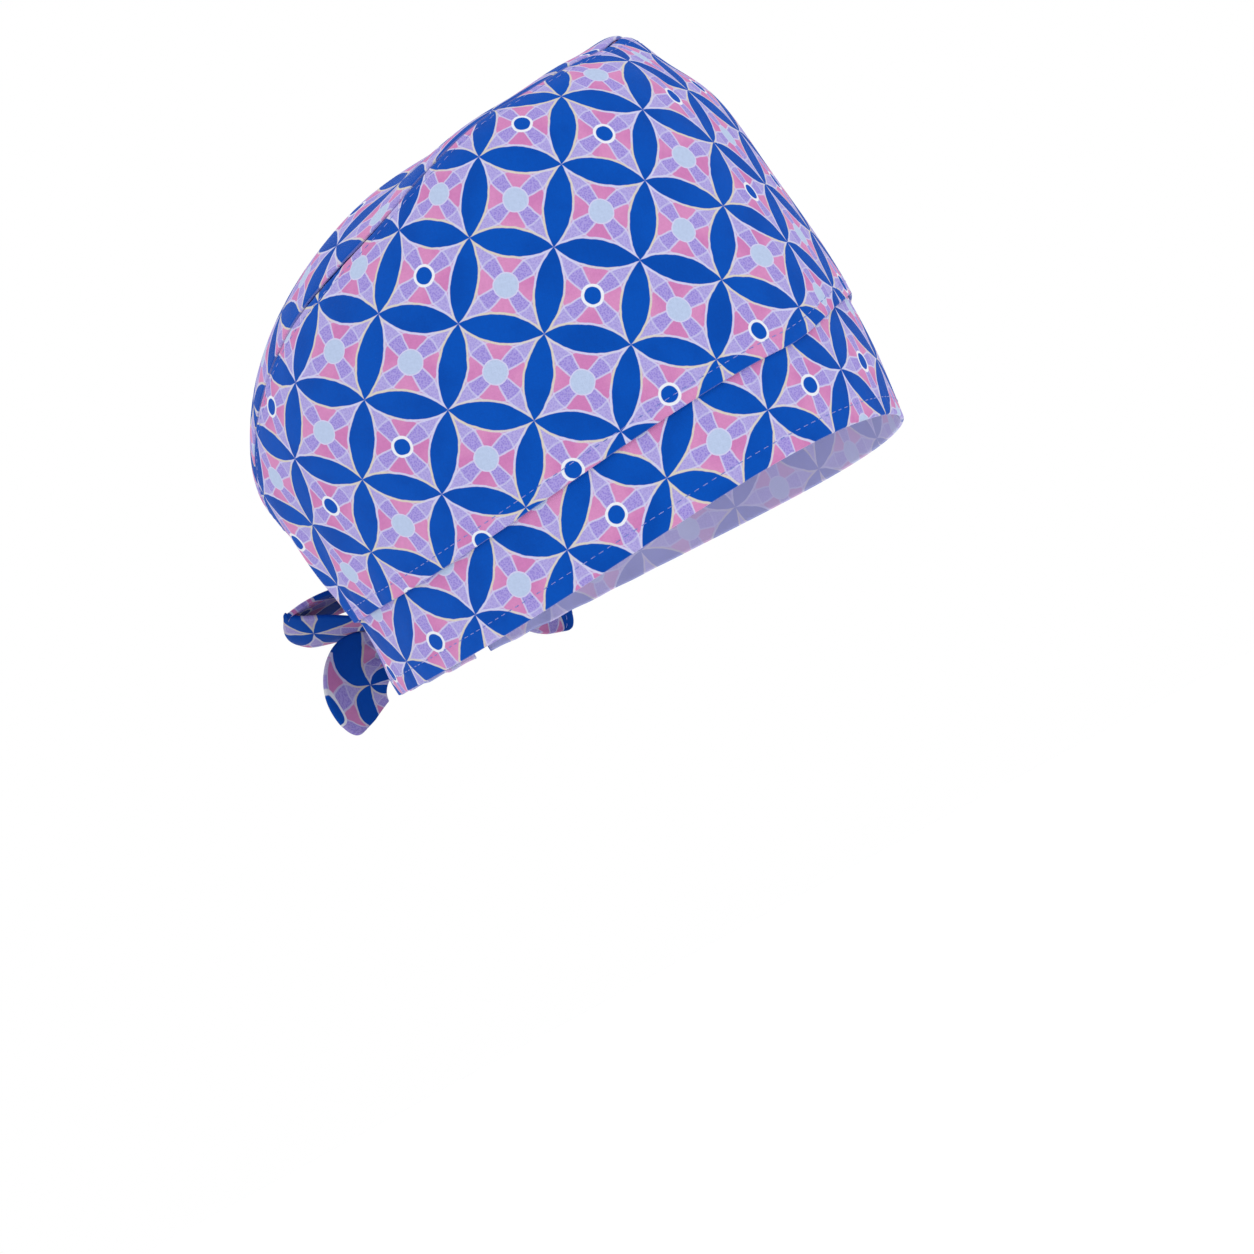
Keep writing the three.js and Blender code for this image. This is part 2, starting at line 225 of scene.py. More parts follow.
def curve(table, key, value):
    """A smooth curve through one column that never swings past its rows and is flat at both ends.

    Cubic pieces whose slope at a row is the weighted harmonic mean of the slopes on either side.
    """
    x, y = table["at"], table[key]
    step, rise = np.diff(x), np.diff(y) / np.diff(x)
    before, after = step[:-1], step[1:]
    a, b = 2 * after + before, after + 2 * before
    same = rise[:-1] * rise[1:] > 0
    low, high = np.where(same, rise[:-1], 1), np.where(same, rise[1:], 1)
    slope = np.zeros_like(y)
    slope[1:-1] = np.where(same, (a + b) / (a / low + b / high), 0)
    v = np.clip(value, x[0], x[-1])
    i = np.clip(np.searchsorted(x, v, side="left") - 1, 0, len(x) - 2)
    h = step[i]
    t = (v - x[i]) / h
    return (y[i] * (1 + 2 * t) * (1 - t) ** 2 + h * slope[i] * t * (1 - t) ** 2
            + y[i + 1] * t * t * (3 - 2 * t) + h * slope[i + 1] * t * t * (t - 1))


def smooth(value, low, high):
    """Zero below low, one above high, with a soft S between."""
    t = np.clip((value - low) / (high - low), 0, 1)
    return t * t * (3 - 2 * t)


def body_point(at, rise):
    """The outer face, at degrees from the front and rise 0 at the rim, 1 at the widest, 2 on top.

    Below the widest ring: the rim ellipse swells with a quarter sine and is pulled in by the
    waist. Above it: a squared quarter ellipse from the ring to the top centre, leaning in, with
    the seam's ridge added near the top.
    """
    at, rise = np.broadcast_arrays(np.asarray(at, float), np.asarray(rise, float))
    turn, angle = np.abs(at), np.radians(at)
    rim_x, rim_y = RIM_HALF_WIDTH * np.sin(angle), -RIM_HALF_LENGTH * np.cos(angle)
    girth, waist = curve(SHAPE, "girth", turn), curve(SHAPE, "waist", turn)
    widest = curve(SHAPE, "widest", turn) * CROWN_HEIGHT
    rim_lift = RIM_DIP * np.cos(2 * angle) + BROW_DIP * np.cos(3 * angle)
    lower = np.clip(rise, 0, 1)
    out = 1 + (girth - 1) * np.sin(lower * np.pi / 2) - waist * np.sin(np.pi * lower) ** 1.5
    wall = np.stack([rim_x * out, rim_y * out, rim_lift + (widest - rim_lift) * lower], -1)
    power = 2 / curve(SHAPE, "square", turn)
    over = np.clip(rise - 1, 0, 1) * np.pi / 2
    inward = np.clip(np.cos(over), 0, 1) ** power
    inward = np.where(rise >= 2, 0, inward)
    upward = np.clip(np.sin(over), 0, 1) ** power
    reach = inward * (1 - curve(SHAPE, "lean", turn) * upward ** 1.5)
    x = rim_x * girth * reach
    y = TOP_CENTRE_BACK + (rim_y * girth - TOP_CENTRE_BACK) * reach
    shoulder = smooth(inward, 0, 0.62) * upward ** 6
    ridge = (curve(SHAPE, "ridge", turn) * TOP_RIDGE_RISE
             + TOP_LEAN * np.clip(x / TOP_LEAN_REACH, -1, 1) * np.clip(np.cos(angle), 0, None))
    dome = np.stack([x, y, widest + (CROWN_HEIGHT - widest) * upward + ridge * shoulder], -1)
    return np.where((rise <= 1)[..., None], wall, dome)


def meridians(at):
    """Lengths along the cloth from the rim to the top centre, one row of samples a direction.

    Above the widest ring the samples crowd to both ends, where a squared section moves fastest.
    """
    t = np.linspace(0, 1, 301)[1:]
    rise = np.concatenate([np.linspace(0, 1, 61), 1 + t ** 3.4 / (t ** 3.4 + (1 - t) ** 3.4)])
    points = body_point(np.asarray(at, float)[:, None], rise[None, :])
    steps = np.linalg.norm(np.diff(points, axis=1), axis=-1)
    return rise, np.concatenate([np.zeros((len(steps), 1)), np.cumsum(steps, axis=1)], axis=1)


def rise_at(at, along):
    """The rise at a distance along the cloth, all rows read from one joined table."""
    rise, length = meridians(at)
    lift = np.arange(len(length))[:, None] * 2.0
    whole = np.interp((np.clip(along, 0, length[:, -1:]) + lift).ravel(),
                      (length + lift).ravel(), np.tile(rise, len(length)))
    return whole.reshape(np.shape(along))


def band_top(at):
    """Height of the band along the cloth, from each side's own column."""
    at = np.asarray(at, float)
    turn = np.abs(at)
    return np.where(at > 0, curve(SHAPE, "left", turn), curve(SHAPE, "right", turn)) * BAND_HEIGHT


def total_along(at):
    """Length of the cloth from the rim to the top centre."""
    return meridians(at)[1][:, -1]


def seam_along(at):
    """Distance of the crown seam from the rim, along the cloth."""
    return curve(SHAPE, "seam", np.abs(at)) * total_along(at)


def relief(at, along, top, seam, total):
    """Height of the cloth's own folds over the smooth form, the same for every layer.

    Gathers: cosine waves round the nape, fading up the crown. Drift: two long, low waves. Pulls:
    fine waves over the band seam behind the ear. Dents: leaning bell shapes. Puckers: short waves
    beside each stitched seam. All of it fades out towards the top centre.
    """
    angle = np.radians(at)
    turn = np.abs(at)
    fade = np.exp(-(((along - top) / GATHER_REACH) ** 2))
    deeper = 1 + smooth(turn, 138, 150) * (1 - smooth(turn, 169, 175))
    uneven = 1 + 0.35 * np.sin(5 * angle + 0.7) * np.sin(9 * angle)
    height = (GATHER_DEPTH * deeper * uneven * smooth(turn, GATHER_FROM, GATHER_FULL) * fade
              * np.cos(GATHER_COUNT * angle))
    height = height + LONG_DRIFT * np.sin(3 * angle + 1.1 + along * 14) * smooth(along, 0.02, 0.07)
    height = height + SHORT_DRIFT * np.sin(7 * angle - along * 38 + 0.4) * smooth(along, 0.03, 0.08)
    pull = (smooth(turn, 96, 126) * (1 - smooth(turn, 140, 152))
            * np.exp(-(((along - top - PULL_ABOVE) / PULL_REACH) ** 2)))
    height = height + PULL_HEIGHT * pull * np.cos(62 * angle + 1.7 * np.sin(7 * angle))
    for dent_at, dent_along, wide, tall, slant, rise in DENTS:
        away = (at - dent_at + 180) % 360 - 180
        up = (along - dent_along) / tall
        height = height + rise * np.exp(-((away / wide - slant * up) ** 2) - up ** 2)
    ripple = np.cos(95 * angle + 2.2 * np.sin(9 * angle)) * (0.6 + 0.4 * np.sin(13 * angle + 1))
    for line, size in ((top + BAND_STITCH, 0.16), (seam - CROWN_PUCKER, 0.20), (HEM_PUCKER, 0.10)):
        height = height + size * MM * ripple * np.exp(-(((along - line) / PUCKER_REACH) ** 2))
    return height * smooth(total - along, 0.0, POLE_FADE)


def cloth_point(at, along, depth):
    """A point on the cloth at a distance from the rim, depth below the outer face, folds added."""
    at2 = np.broadcast_to(np.asarray(at, float)[:, None], along.shape)
    rise = rise_at(at, along)
    low, high = np.clip(rise - 0.002, 0, 2), np.clip(rise + 0.002, 0, 2)
    sideways = body_point(at2 + 0.2, rise) - body_point(at2 - 0.2, rise)
    upwards = body_point(at2, high) - body_point(at2, low)
    normal = np.cross(sideways, upwards)
    normal /= np.linalg.norm(normal, axis=-1, keepdims=True) + 1e-12
    normal = np.where((rise > 1.995)[..., None], np.array([0.0, 0.0, 1.0]), normal)
    lift = relief(at2, along, band_top(at)[:, None], seam_along(at)[:, None], total_along(at)[:, None])
    return body_point(at2, rise) + normal * (lift - depth)[..., None], normal


def lattice(across, up, turn, node):
    """Print coordinates: the point across and up from a node, turned onto the print's two axes.

    The first axis runs right and down by the turn, the second left and down, in metres.
    """
    c, s = math.cos(math.radians(turn)), math.sin(math.radians(turn))
    a, w = across - node[0], node[1] - up
    scale = PRINT_SQUARE / print_settings().pitch
    return np.stack([(c * a + s * w) * scale, (-s * a + c * w) * scale], -1)


def grid_faces(n, m, ring=False, loop=False):
    """Quads of an n by m grid of points. Ring joins the last column to the first, loop the rows."""
    i = np.arange(n if ring else n - 1)[:, None]
    j = np.arange(m if loop else m - 1)[None, :]
    i2, j2 = (i + 1) % n, (j + 1) % m
    return np.stack([i * m + j, i2 * m + j, i2 * m + j2, i * m + j2], -1).reshape(-1, 4)


def new_piece(name, points, quads, tris, material, uv=None, inside=None):
    """A mesh object from whole arrays, with its print coordinates and inside mark on it."""
    points = np.asarray(points, float).reshape(-1, 3)
    mesh = bpy.data.meshes.new(name)
    quads = np.asarray(quads, int).reshape(-1, 4)
    tris = np.asarray(tris, int).reshape(-1, 3)
    mesh.vertices.add(len(points))
    mesh.vertices.foreach_set("co", points.astype(np.float32).ravel())
    corners = np.concatenate([quads.ravel(), tris.ravel()]).astype(np.int32)
    sizes = np.concatenate([np.full(len(quads), 4), np.full(len(tris), 3)])
    mesh.loops.add(len(corners))
    mesh.loops.foreach_set("vertex_index", corners)
    mesh.polygons.add(len(sizes))
    mesh.polygons.foreach_set("loop_start", (np.cumsum(sizes) - sizes).astype(np.int32))
    mesh.update(calc_edges=True)
    if uv is not None:
        layer = mesh.uv_layers.new(name="print")
        layer.data.foreach_set("uv", np.asarray(uv, np.float32).reshape(-1, 2)[corners].ravel())
    if inside is not None:
        mark = mesh.attributes.new("inside", "FLOAT", "POINT")
        mark.data.foreach_set("value", np.asarray(inside, np.float32).ravel())
    mesh.validate()
    mesh.shade_smooth()
    piece = bpy.data.objects.new(name, mesh)
    bpy.context.scene.collection.objects.link(piece)
    mesh.materials.append(material)
    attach(piece, "root")
    return piece


def edge_arc(edge, middle, radius, towards):
    """Half a circle round a folded edge, from the outer face to the inner one.

    Along = edge plus or minus radius times one minus the sine; depth = middle minus radius
    times the cosine, as the angle goes from 0 to a half turn.
    """
    angle = np.linspace(0, np.pi, FOLD + 2)[None, :]
    along = edge[:, None] + towards * radius * (1 - np.sin(angle))
    return along, middle[:, None] - radius * np.cos(angle)


def wall_profile(lower, upper, depths, rows):
    """A cloth wall's section as a closed loop of along and depth: outer face up, inner face down.

    Depths is a function of along for the outer face; both ends are rounded folds.
    """
    radius = CLOTH / 2
    t = np.linspace(0, 1, rows)[None, :]
    along = (lower + radius)[:, None] + (upper - lower - 2 * radius)[:, None] * t
    outer = depths(along)
    top_a, top_d = edge_arc(upper, outer[:, -1] + radius, radius, -1)
    low_a, low_d = edge_arc(lower, outer[:, 0] + radius, radius, 1)
    alongs = np.concatenate([along, top_a[:, 1:-1], along[:, ::-1], low_a[:, ::-1][:, 1:-1]], 1)
    deep = np.concatenate([outer, top_d[:, 1:-1], (outer + CLOTH)[:, ::-1], low_d[:, ::-1][:, 1:-1]], 1)
    fade = np.linspace(0, 1, FOLD)
    marks = np.concatenate([np.zeros(rows), fade, np.ones(rows), fade[::-1]])
    return alongs, deep, np.broadcast_to(marks, alongs.shape)


def end_caps(n, rows, total):
    """Flat closing strips at both ends of a wall, zipped between its outer and inner rows."""
    k = np.arange(rows - 1)
    inner = rows + FOLD + (rows - 1 - k)
    first = np.stack([k, k + 1, inner - 1, inner], -1)
    last = (n - 1) * total + first[:, ::-1]
    top = rows - 1 + np.arange(FOLD + 2)
    low = -np.arange(FOLD + 2) % total
    tris = [(top[0], top[i], top[i + 1]) for i in range(1, FOLD + 1)]
    tris += [(low[0], low[i + 1], low[i]) for i in range(1, FOLD + 1)]
    tris = np.array(tris)
    return np.concatenate([first, last]), np.concatenate([tris, (n - 1) * total + tris[:, ::-1]])


def print_settings():
    """The print's sizes and colours, as the user has set them."""
    return bpy.context.scene.scrub_cap_print


def wrap_uv(at, along):
    """Print coordinates on the side wrap, laid where the cloth's squares lie round the head."""
    across = (curve_line(WRAP_PRINT, "across", at)[:, None]
              + curve_line(WRAP_PRINT, "slant", at)[:, None] * (along - 0.070))
    return lattice(across, along, 40.0, (0.0, 0.1258))


def curve_line(table, key, value):
    """Straight pieces through a column, softened over a few degrees on either side."""
    x, y = table["at"], table[key]
    near = np.linspace(-6, 6, 13)
    v = np.asarray(value, float)[..., None] + near
    slope_low, slope_high = (y[1] - y[0]) / (x[1] - x[0]), (y[-1] - y[-2]) / (x[-1] - x[-2])
    flat = np.interp(v, x, y) + slope_low * np.minimum(v - x[0], 0) + slope_high * np.maximum(v - x[-1], 0)
    weight = np.cos(near / 7 * np.pi / 2) ** 2
    return (flat * weight).sum(-1) / weight.sum()


def band_uv(at, along):
    """Print coordinates on the band, moved one square along the print's first axis."""
    across = np.broadcast_to(curve_line(BAND_PRINT, "across", at)[:, None], along.shape)
    xy = lattice(across, along, 42.4, (0.0, 0.015))
    return xy + np.array([PRINT_SQUARE, 0.0])


def crown_uv(at, along, total):
    """Print coordinates on the crown: rays from the top centre, bent to run down the back together.

    Each ray is summed from short steps whose heading turns from the ray's own direction to a
    small lean, between 40 and 130 mm from the top; rays to the front keep their direction.
    """
    r = total[:, None] - along
    steps = np.linspace(0, 0.26, 131)
    angle = np.radians(np.asarray(at, float) % 360 - 180)[:, None]
    bend = smooth(steps, 0.040, 0.130)[None, :] * smooth(np.cos(angle), -0.25, 0.45)
    heading = angle + (np.arcsin(0.35 * np.sin(angle)) - angle) * bend
    lift = np.arange(len(r))[:, None] * 2.0
    spots, joined = (r + lift).ravel(), (steps[None, :] + lift).ravel()
    sums = []
    for part in (np.sin(heading), np.cos(heading)):
        middle = (part[:, 1:] + part[:, :-1]) / 2 * (steps[1] - steps[0])
        run = np.concatenate([np.zeros((len(r), 1)), np.cumsum(middle, axis=1)], axis=1)
        sums.append(np.interp(spots, joined, run.ravel()).reshape(r.shape))
    return lattice(sums[0], -sums[1], 28.0, (0.004, 0.009))


class Nodes:
    """Short hands for building a node tree."""

    def __init__(self, tree):
        self.tree = tree

    def add(self, kind, **values):
        node = self.tree.nodes.new(kind)
        for key, value in values.items():
            setattr(node, key, value)
        return node

    def put(self, socket, value):
        if isinstance(value, bpy.types.NodeSocket):
            self.tree.links.new(value, socket)
        elif value is not None:
            socket.default_value = value

    def math(self, operation, a, b=None, c=None, clamp=False):
        node = self.add("ShaderNodeMath", operation=operation, use_clamp=clamp)
        for socket, value in zip(node.inputs, (a, b, c)):
            self.put(socket, value)
        return node.outputs[0]

    def soft(self, value, low, high, start=0.0, end=1.0):
        """Start below low, end above high, with a soft S between."""
        node = self.add("ShaderNodeMapRange", interpolation_type="SMOOTHSTEP")
        for socket, part in zip(node.inputs, (value, low, high, start, end)):
            self.put(socket, part)
        return node.outputs[0]

    def mix(self, share, a, b, blend="MIX"):
        node = self.add("ShaderNodeMix", data_type="RGBA", blend_type=blend)
        self.put(node.inputs[0], share)
        self.put(node.inputs[6], a)
        self.put(node.inputs[7], b)
        return node.outputs[2]

    def length(self, a, b):
        """The root of the two squares' sum."""
        return self.math("SQRT", self.math("ADD", self.math("MULTIPLY", a, a), self.math("MULTIPLY", b, b)))

    def noise(self, vector, scale, detail, dimensions="2D"):
        node = self.add("ShaderNodeTexNoise", noise_dimensions=dimensions)
        for key, value in (("Vector", vector), ("Scale", scale), ("Detail", detail)):
            self.put(node.inputs[key], value)
        return node

    def bump(self, height, strength, distance):
        node = self.add("ShaderNodeBump")
        for key, value in (("Height", height), ("Strength", strength), ("Distance", distance)):
            self.put(node.inputs[key], value)
        return node.outputs[0]

    def line(self, value, width, soft):
        """One where the value is near zero, within a width, fading over soft."""
        return self.soft(self.math("ABSOLUTE", value), width, width + soft, 1.0, 0.0)


def colour(prop):
    """A picked colour as a four part socket value."""
    return (prop[0], prop[1], prop[2], 1.0)


def print_group():
    """The printed pattern as a node group: overlapping circles, with a rosette in every square.

    Petals lie on each edge of the squares, bounded by two arcs of radius 0.866 whose centres are
    0.707 to either side. A disc, four leaves to the corners and a fine ring fill each square.
    """
    if "Printed cotton pattern" in bpy.data.node_groups:
        return bpy.data.node_groups["Printed cotton pattern"]
    p = print_settings()
    tree = bpy.data.node_groups.new("Printed cotton pattern", "ShaderNodeTree")
    tree.interface.new_socket("Coordinates", in_out="INPUT", socket_type="NodeSocketVector")
    tree.interface.new_socket("Colour", in_out="OUTPUT", socket_type="NodeSocketColor")
    n = Nodes(tree)
    start, end = n.add("NodeGroupInput"), n.add("NodeGroupOutput")
    wobble = n.noise(start.outputs[0], 190.0, 2.0)
    shift = n.add("ShaderNodeVectorMath", operation="MULTIPLY_ADD")
    n.put(shift.inputs[0], wobble.outputs["Color"])
    shift.inputs[1].default_value = (0.0007, 0.0007, 0.0)
    n.put(shift.inputs[2], start.outputs[0])
    place = n.add("ShaderNodeVectorMath", operation="SCALE")
    n.put(place.inputs[0], shift.outputs[0])
    n.put(place.inputs["Scale"], 1 / PRINT_SQUARE)
    nudge = n.add("ShaderNodeVectorMath", operation="SUBTRACT")
    n.put(nudge.inputs[0], place.outputs[0])
    nudge.inputs[1].default_value = (0.0134, 0.0134, 0.0)
    parts = n.add("ShaderNodeSeparateXYZ")
    n.put(parts.inputs[0], nudge.outputs[0])
    x, y = parts.outputs[0], parts.outputs[1]
    cell_i, cell_j = n.math("FLOOR", x), n.math("FLOOR", y)
    fx = n.math("ABSOLUTE", n.math("SUBTRACT", n.math("SUBTRACT", x, cell_i), 0.5))
    fy = n.math("ABSOLUTE", n.math("SUBTRACT", n.math("SUBTRACT", y, cell_j), 0.5))
    arc_radius, arc_centre, diagonal = 0.866, 1.207, 0.7071
    arc_a = n.math("SUBTRACT", n.length(fx, n.math("SUBTRACT", arc_centre, fy)), arc_radius)
    arc_b = n.math("SUBTRACT", n.length(fy, n.math("SUBTRACT", arc_centre, fx)), arc_radius)
    petal = n.math("MINIMUM", arc_a, arc_b)
    radius = n.length(fx, fy)
    outward = n.math("MULTIPLY", n.math("ADD", fx, fy), diagonal)
    aside = n.math("MULTIPLY", n.math("ABSOLUTE", n.math("SUBTRACT", fx, fy)), diagonal)
    beyond_widest = n.math("SUBTRACT", outward, 0.33)
    taper = n.math("MAXIMUM", n.math("MULTIPLY", beyond_widest, 0.270),
                   n.math("MULTIPLY", beyond_widest, -0.17))
    half = n.math("SUBTRACT", 0.100, taper)
    leaf = n.math("SUBTRACT", aside, half)

    # Two tones of dots on the leaves
    dots = n.add("ShaderNodeTexVoronoi", voronoi_dimensions="2D", feature="F1")
    n.put(dots.inputs["Vector"], start.outputs[0])
    n.put(dots.inputs["Scale"], 1500.0)
    dot = n.soft(dots.outputs["Distance"], 0.25, 0.45, 1.0, 0.0)
    patch = n.noise(start.outputs[0], 60.0, 3.0).outputs[0]

    lilac = n.mix(n.math("MULTIPLY", dot, 0.55), colour(p.lilac), colour(p.lilac_dots))
    beyond = n.soft(radius, 0.345, 0.37)
    lilac = n.mix(n.math("MULTIPLY", beyond, 0.22), lilac, colour(p.outline))
    pink = n.mix(n.soft(patch, 0.35, 0.65), colour(p.pink), colour(p.pink_deep))
    pink = n.mix(n.math("MULTIPLY", beyond, 0.40), pink, colour(p.lilac))
    ground = n.mix(n.soft(leaf, -0.004, 0.004, 1.0, 0.0), pink, lilac)
    ground = n.mix(n.math("MULTIPLY", n.line(leaf, 0.005, 0.011), 0.8), ground, colour(p.outline))
    ring = n.math("SUBTRACT", radius, 0.352)
    ground = n.mix(n.math("MULTIPLY", n.line(ring, 0.005, 0.011), 0.6), ground, colour(p.outline))

    # Discs in the middle of each square
    odd_i = n.math("PINGPONG", cell_i, 1.0)
    odd_j = n.math("PINGPONG", cell_j, 1.0)
    both_odd = n.math("MULTIPLY", odd_i, odd_j)
    even_i = n.math("SUBTRACT", 1.0, odd_i)
    sixth = n.math("COMPARE", n.math("FLOORED_MODULO", cell_j, 6.0), 4.0, 0.4)
    slope = n.math("SUBTRACT", n.math("MULTIPLY", cell_j, 2.0), n.math("MULTIPLY", cell_i, 3.0))
    on_line = n.math("COMPARE", slope, -2.0, 0.4)
    dark = n.math("ADD", both_odd, n.math("MULTIPLY", even_i, n.math("MAXIMUM", sixth, on_line)), clamp=True)
    pale_disc = n.soft(radius, 0.150, 0.158, 1.0, 0.0)
    rim = n.line(n.math("SUBTRACT", radius, 0.15), 0.004, 0.014)
    pale_colour = n.mix(rim, colour(p.disc), colour(p.outline))
    pale = n.mix(pale_disc, ground, pale_colour)
    ringed = n.mix(n.soft(radius, 0.130, 0.140, 1.0, 0.0), ground, colour(p.ring))
    ringed = n.mix(n.soft(radius, 0.097, 0.106, 1.0, 0.0), ringed, colour(p.blue))
    square = n.mix(dark, pale, ringed)

    # Petals with their pale edge line
    edge = n.mix(n.soft(patch, 0.4, 0.6), colour(p.edge), colour(p.outline))
    square = n.mix(n.soft(petal, 0.020, 0.032, 0.95, 0.0), square, edge)
    blue = n.mix(n.soft(patch, 0.35, 0.7), colour(p.blue), colour(p.blue_deep))
    whole = n.mix(n.soft(petal, -0.004, 0.006, 1.0, 0.0), square, blue)
    n.put(end.inputs[0], whole)
    return tree


def cloth_material(slot):
    """Printed poplin: the pattern, a plain weave in colour and bump, soft sheen, a paler back, and a tone
    that on the ties is painted shade.
    """
    material = bpy.data.materials.new(f"printed_{slot}")
    material.use_nodes = True
    tree = material.node_tree
    tree.nodes.clear()
    n = Nodes(tree)
    out = n.add("ShaderNodeOutputMaterial")
    shader = n.add("ShaderNodeBsdfPrincipled")
    n.put(out.inputs["Surface"], shader.outputs[0])
    uv = n.add("ShaderNodeUVMap", uv_map="print").outputs[0]
    pattern = n.add("ShaderNodeGroup", node_tree=print_group())
    n.put(pattern.inputs[0], uv)
    p = print_settings()
    warp = n.add("ShaderNodeTexWave", wave_type="BANDS", bands_direction="X")
    weft = n.add("ShaderNodeTexWave", wave_type="BANDS", bands_direction="Y")
    for threads in (warp, weft):
        n.put(threads.inputs["Vector"], uv)
        n.put(threads.inputs["Scale"], 0.314 / p.thread)
        n.put(threads.inputs["Distortion"], 1.2)
        n.put(threads.inputs["Detail"], 1.0)
        n.put(threads.inputs["Detail Scale"], 2.0)
    weave = n.math("MULTIPLY", n.math("ADD", warp.outputs["Fac"], weft.outputs["Fac"]), 0.5)
    slub = n.noise(uv, 900.0, 4.0)
    grain = n.math("MULTIPLY_ADD", slub.outputs[0], 0.16, n.math("MULTIPLY_ADD", weave, 0.10, 0.87))
    combine = n.add("ShaderNodeCombineColor")
    for socket in combine.inputs:
        n.put(socket, grain)
    tone = n.mix(1.0, pattern.outputs[0], combine.outputs[0], "MULTIPLY")
    # The cloth's tone; on the ties it darkens the colour with painted shade.
    deep = n.mix(1.0, tone, (PRINT_TONE_AND_PAINTED_SHADE[slot],) * 3 + (1.0,), "MULTIPLY")
    back = n.add("ShaderNodeAttribute", attribute_name="inside").outputs["Fac"]
    faded = n.mix(n.math("MULTIPLY", back, BACK_FADE), deep, colour(p.back))
    n.put(shader.inputs["Base Color"], faded)
    rough = n.math("MULTIPLY_ADD", slub.outputs[0], 0.12, 0.74)
    n.put(shader.inputs["Roughness"], rough)
    shader.inputs["Specular IOR Level"].default_value = 0.06
    shader.inputs["Sheen Weight"].default_value = 0.03
    shader.inputs["Sheen Roughness"].default_value = 0.45
    fuzz = n.noise(n.add("ShaderNodeTexCoord").outputs["Object"], 110.0, 3.0, "3D")
    height = n.math("ADD", n.math("MULTIPLY", weave, 0.05), n.math("MULTIPLY", fuzz.outputs[0], 0.35))
    n.put(shader.inputs["Normal"], n.bump(height, 0.55, 0.0012))
    return material


def thread_material():
    """Spun sewing thread: twisted plies as slanting bands in colour and bump, the darker colour between the
    plies being painted shade.
    """
    material = bpy.data.materials.new("sewing_thread")
    material.use_nodes = True
    n = Nodes(material.node_tree)
    shader = material.node_tree.nodes["Principled BSDF"]
    plies = n.add("ShaderNodeTexWave", wave_type="BANDS", bands_direction="DIAGONAL")
    n.put(plies.inputs["Vector"], n.add("ShaderNodeTexCoord").outputs["Object"])
    n.put(plies.inputs["Scale"], 900.0)
    p = print_settings()
    twist = plies.outputs["Fac"]
    # The darker colour between the plies is painted shade.
    n.put(shader.inputs["Base Color"], n.mix(twist, colour(p.thread_painted_shade), colour(p.thread_colour)))
    shader.inputs["Roughness"].default_value = 0.6
    shader.inputs["Sheen Weight"].default_value = 0.2
    n.put(shader.inputs["Normal"], n.bump(twist, 0.4, 0.0001))
    return material


def printed(slot):
    """The printed cloth of a material slot, made once."""
    return bpy.data.materials.get(f"printed_{slot}") or cloth_material(slot)


def stitches(name, points, normals):
    """A row of stitches along a line: a small capsule at even steps, half sunk in the cloth.

    Each capsule is rings of six points whose radius is the root of one minus position to the
    fourth; all are placed at once from the line's direction and normal.
    """
    sew = bpy.context.scene.scrub_cap_sewing
    length, gap, width = sew.stitch, sew.gap, sew.thick
    rings, sides = 7, 6
    line = np.asarray(points)
    measure = np.concatenate([[0], np.cumsum(np.linalg.norm(np.diff(line, axis=0), axis=1))])
    count = int((measure[-1] - gap) // (length + gap))
    middle = gap + length / 2 + np.arange(count) * (length + gap)
    k = np.linspace(-1, 1, rings)
    spots = middle[:, None] + k[None, :] * length / 2

    def read(values):
        flat = [np.interp(spots.ravel(), measure, values[:, c]) for c in range(3)]
        return np.stack(flat, -1).reshape(count, rings, 3)

    centre, normal = read(line), read(np.asarray(normals))
    normal /= np.linalg.norm(normal, axis=-1, keepdims=True)
    forward = np.gradient(centre, axis=1)
    forward /= np.linalg.norm(forward, axis=-1, keepdims=True)
    across = np.cross(normal, forward)
    radius = width / 2 * np.sqrt(np.clip(1 - k ** 4, 0.02, 1))
    sink = width * (0.10 - 0.45 * k ** 4)
    turn = np.arange(sides) * 2 * np.pi / sides
    ring = (across[:, :, None, :] * np.cos(turn)[None, None, :, None]
            + normal[:, :, None, :] * np.sin(turn)[None, None, :, None])
    verts = (centre[:, :, None, :] + normal[:, :, None, :] * sink[None, :, None, None]
             + ring * radius[None, :, None, None])
    base = (np.arange(count) * rings * sides)[:, None, None]
    a = np.arange(rings - 1)[:, None] * sides
    b = np.arange(sides)[None, :]
    b2 = (b + 1) % sides
    quad = np.stack([a + b, a + b2, a + sides + b2, a + sides + b], -1).reshape(1, -1, 4)
    fan = np.arange(1, sides - 1)
    last = (rings - 1) * sides
    ends = np.concatenate([np.stack([0 * fan, fan + 1, fan], -1),
                           last + np.stack([0 * fan, fan, fan + 1], -1)])
    quads, tris = (base + quad).reshape(-1, 4), (base + ends[None]).reshape(-1, 3)
    thread = bpy.data.materials.get("sewing_thread") or thread_material()
    return new_piece(name, verts, quads[:, ::-1], tris[:, ::-1], thread)


def places(start, stop, step):
    """Even places from start to stop, about a step apart."""
    return np.linspace(start, stop, int(round((stop - start) / step)) + 1)


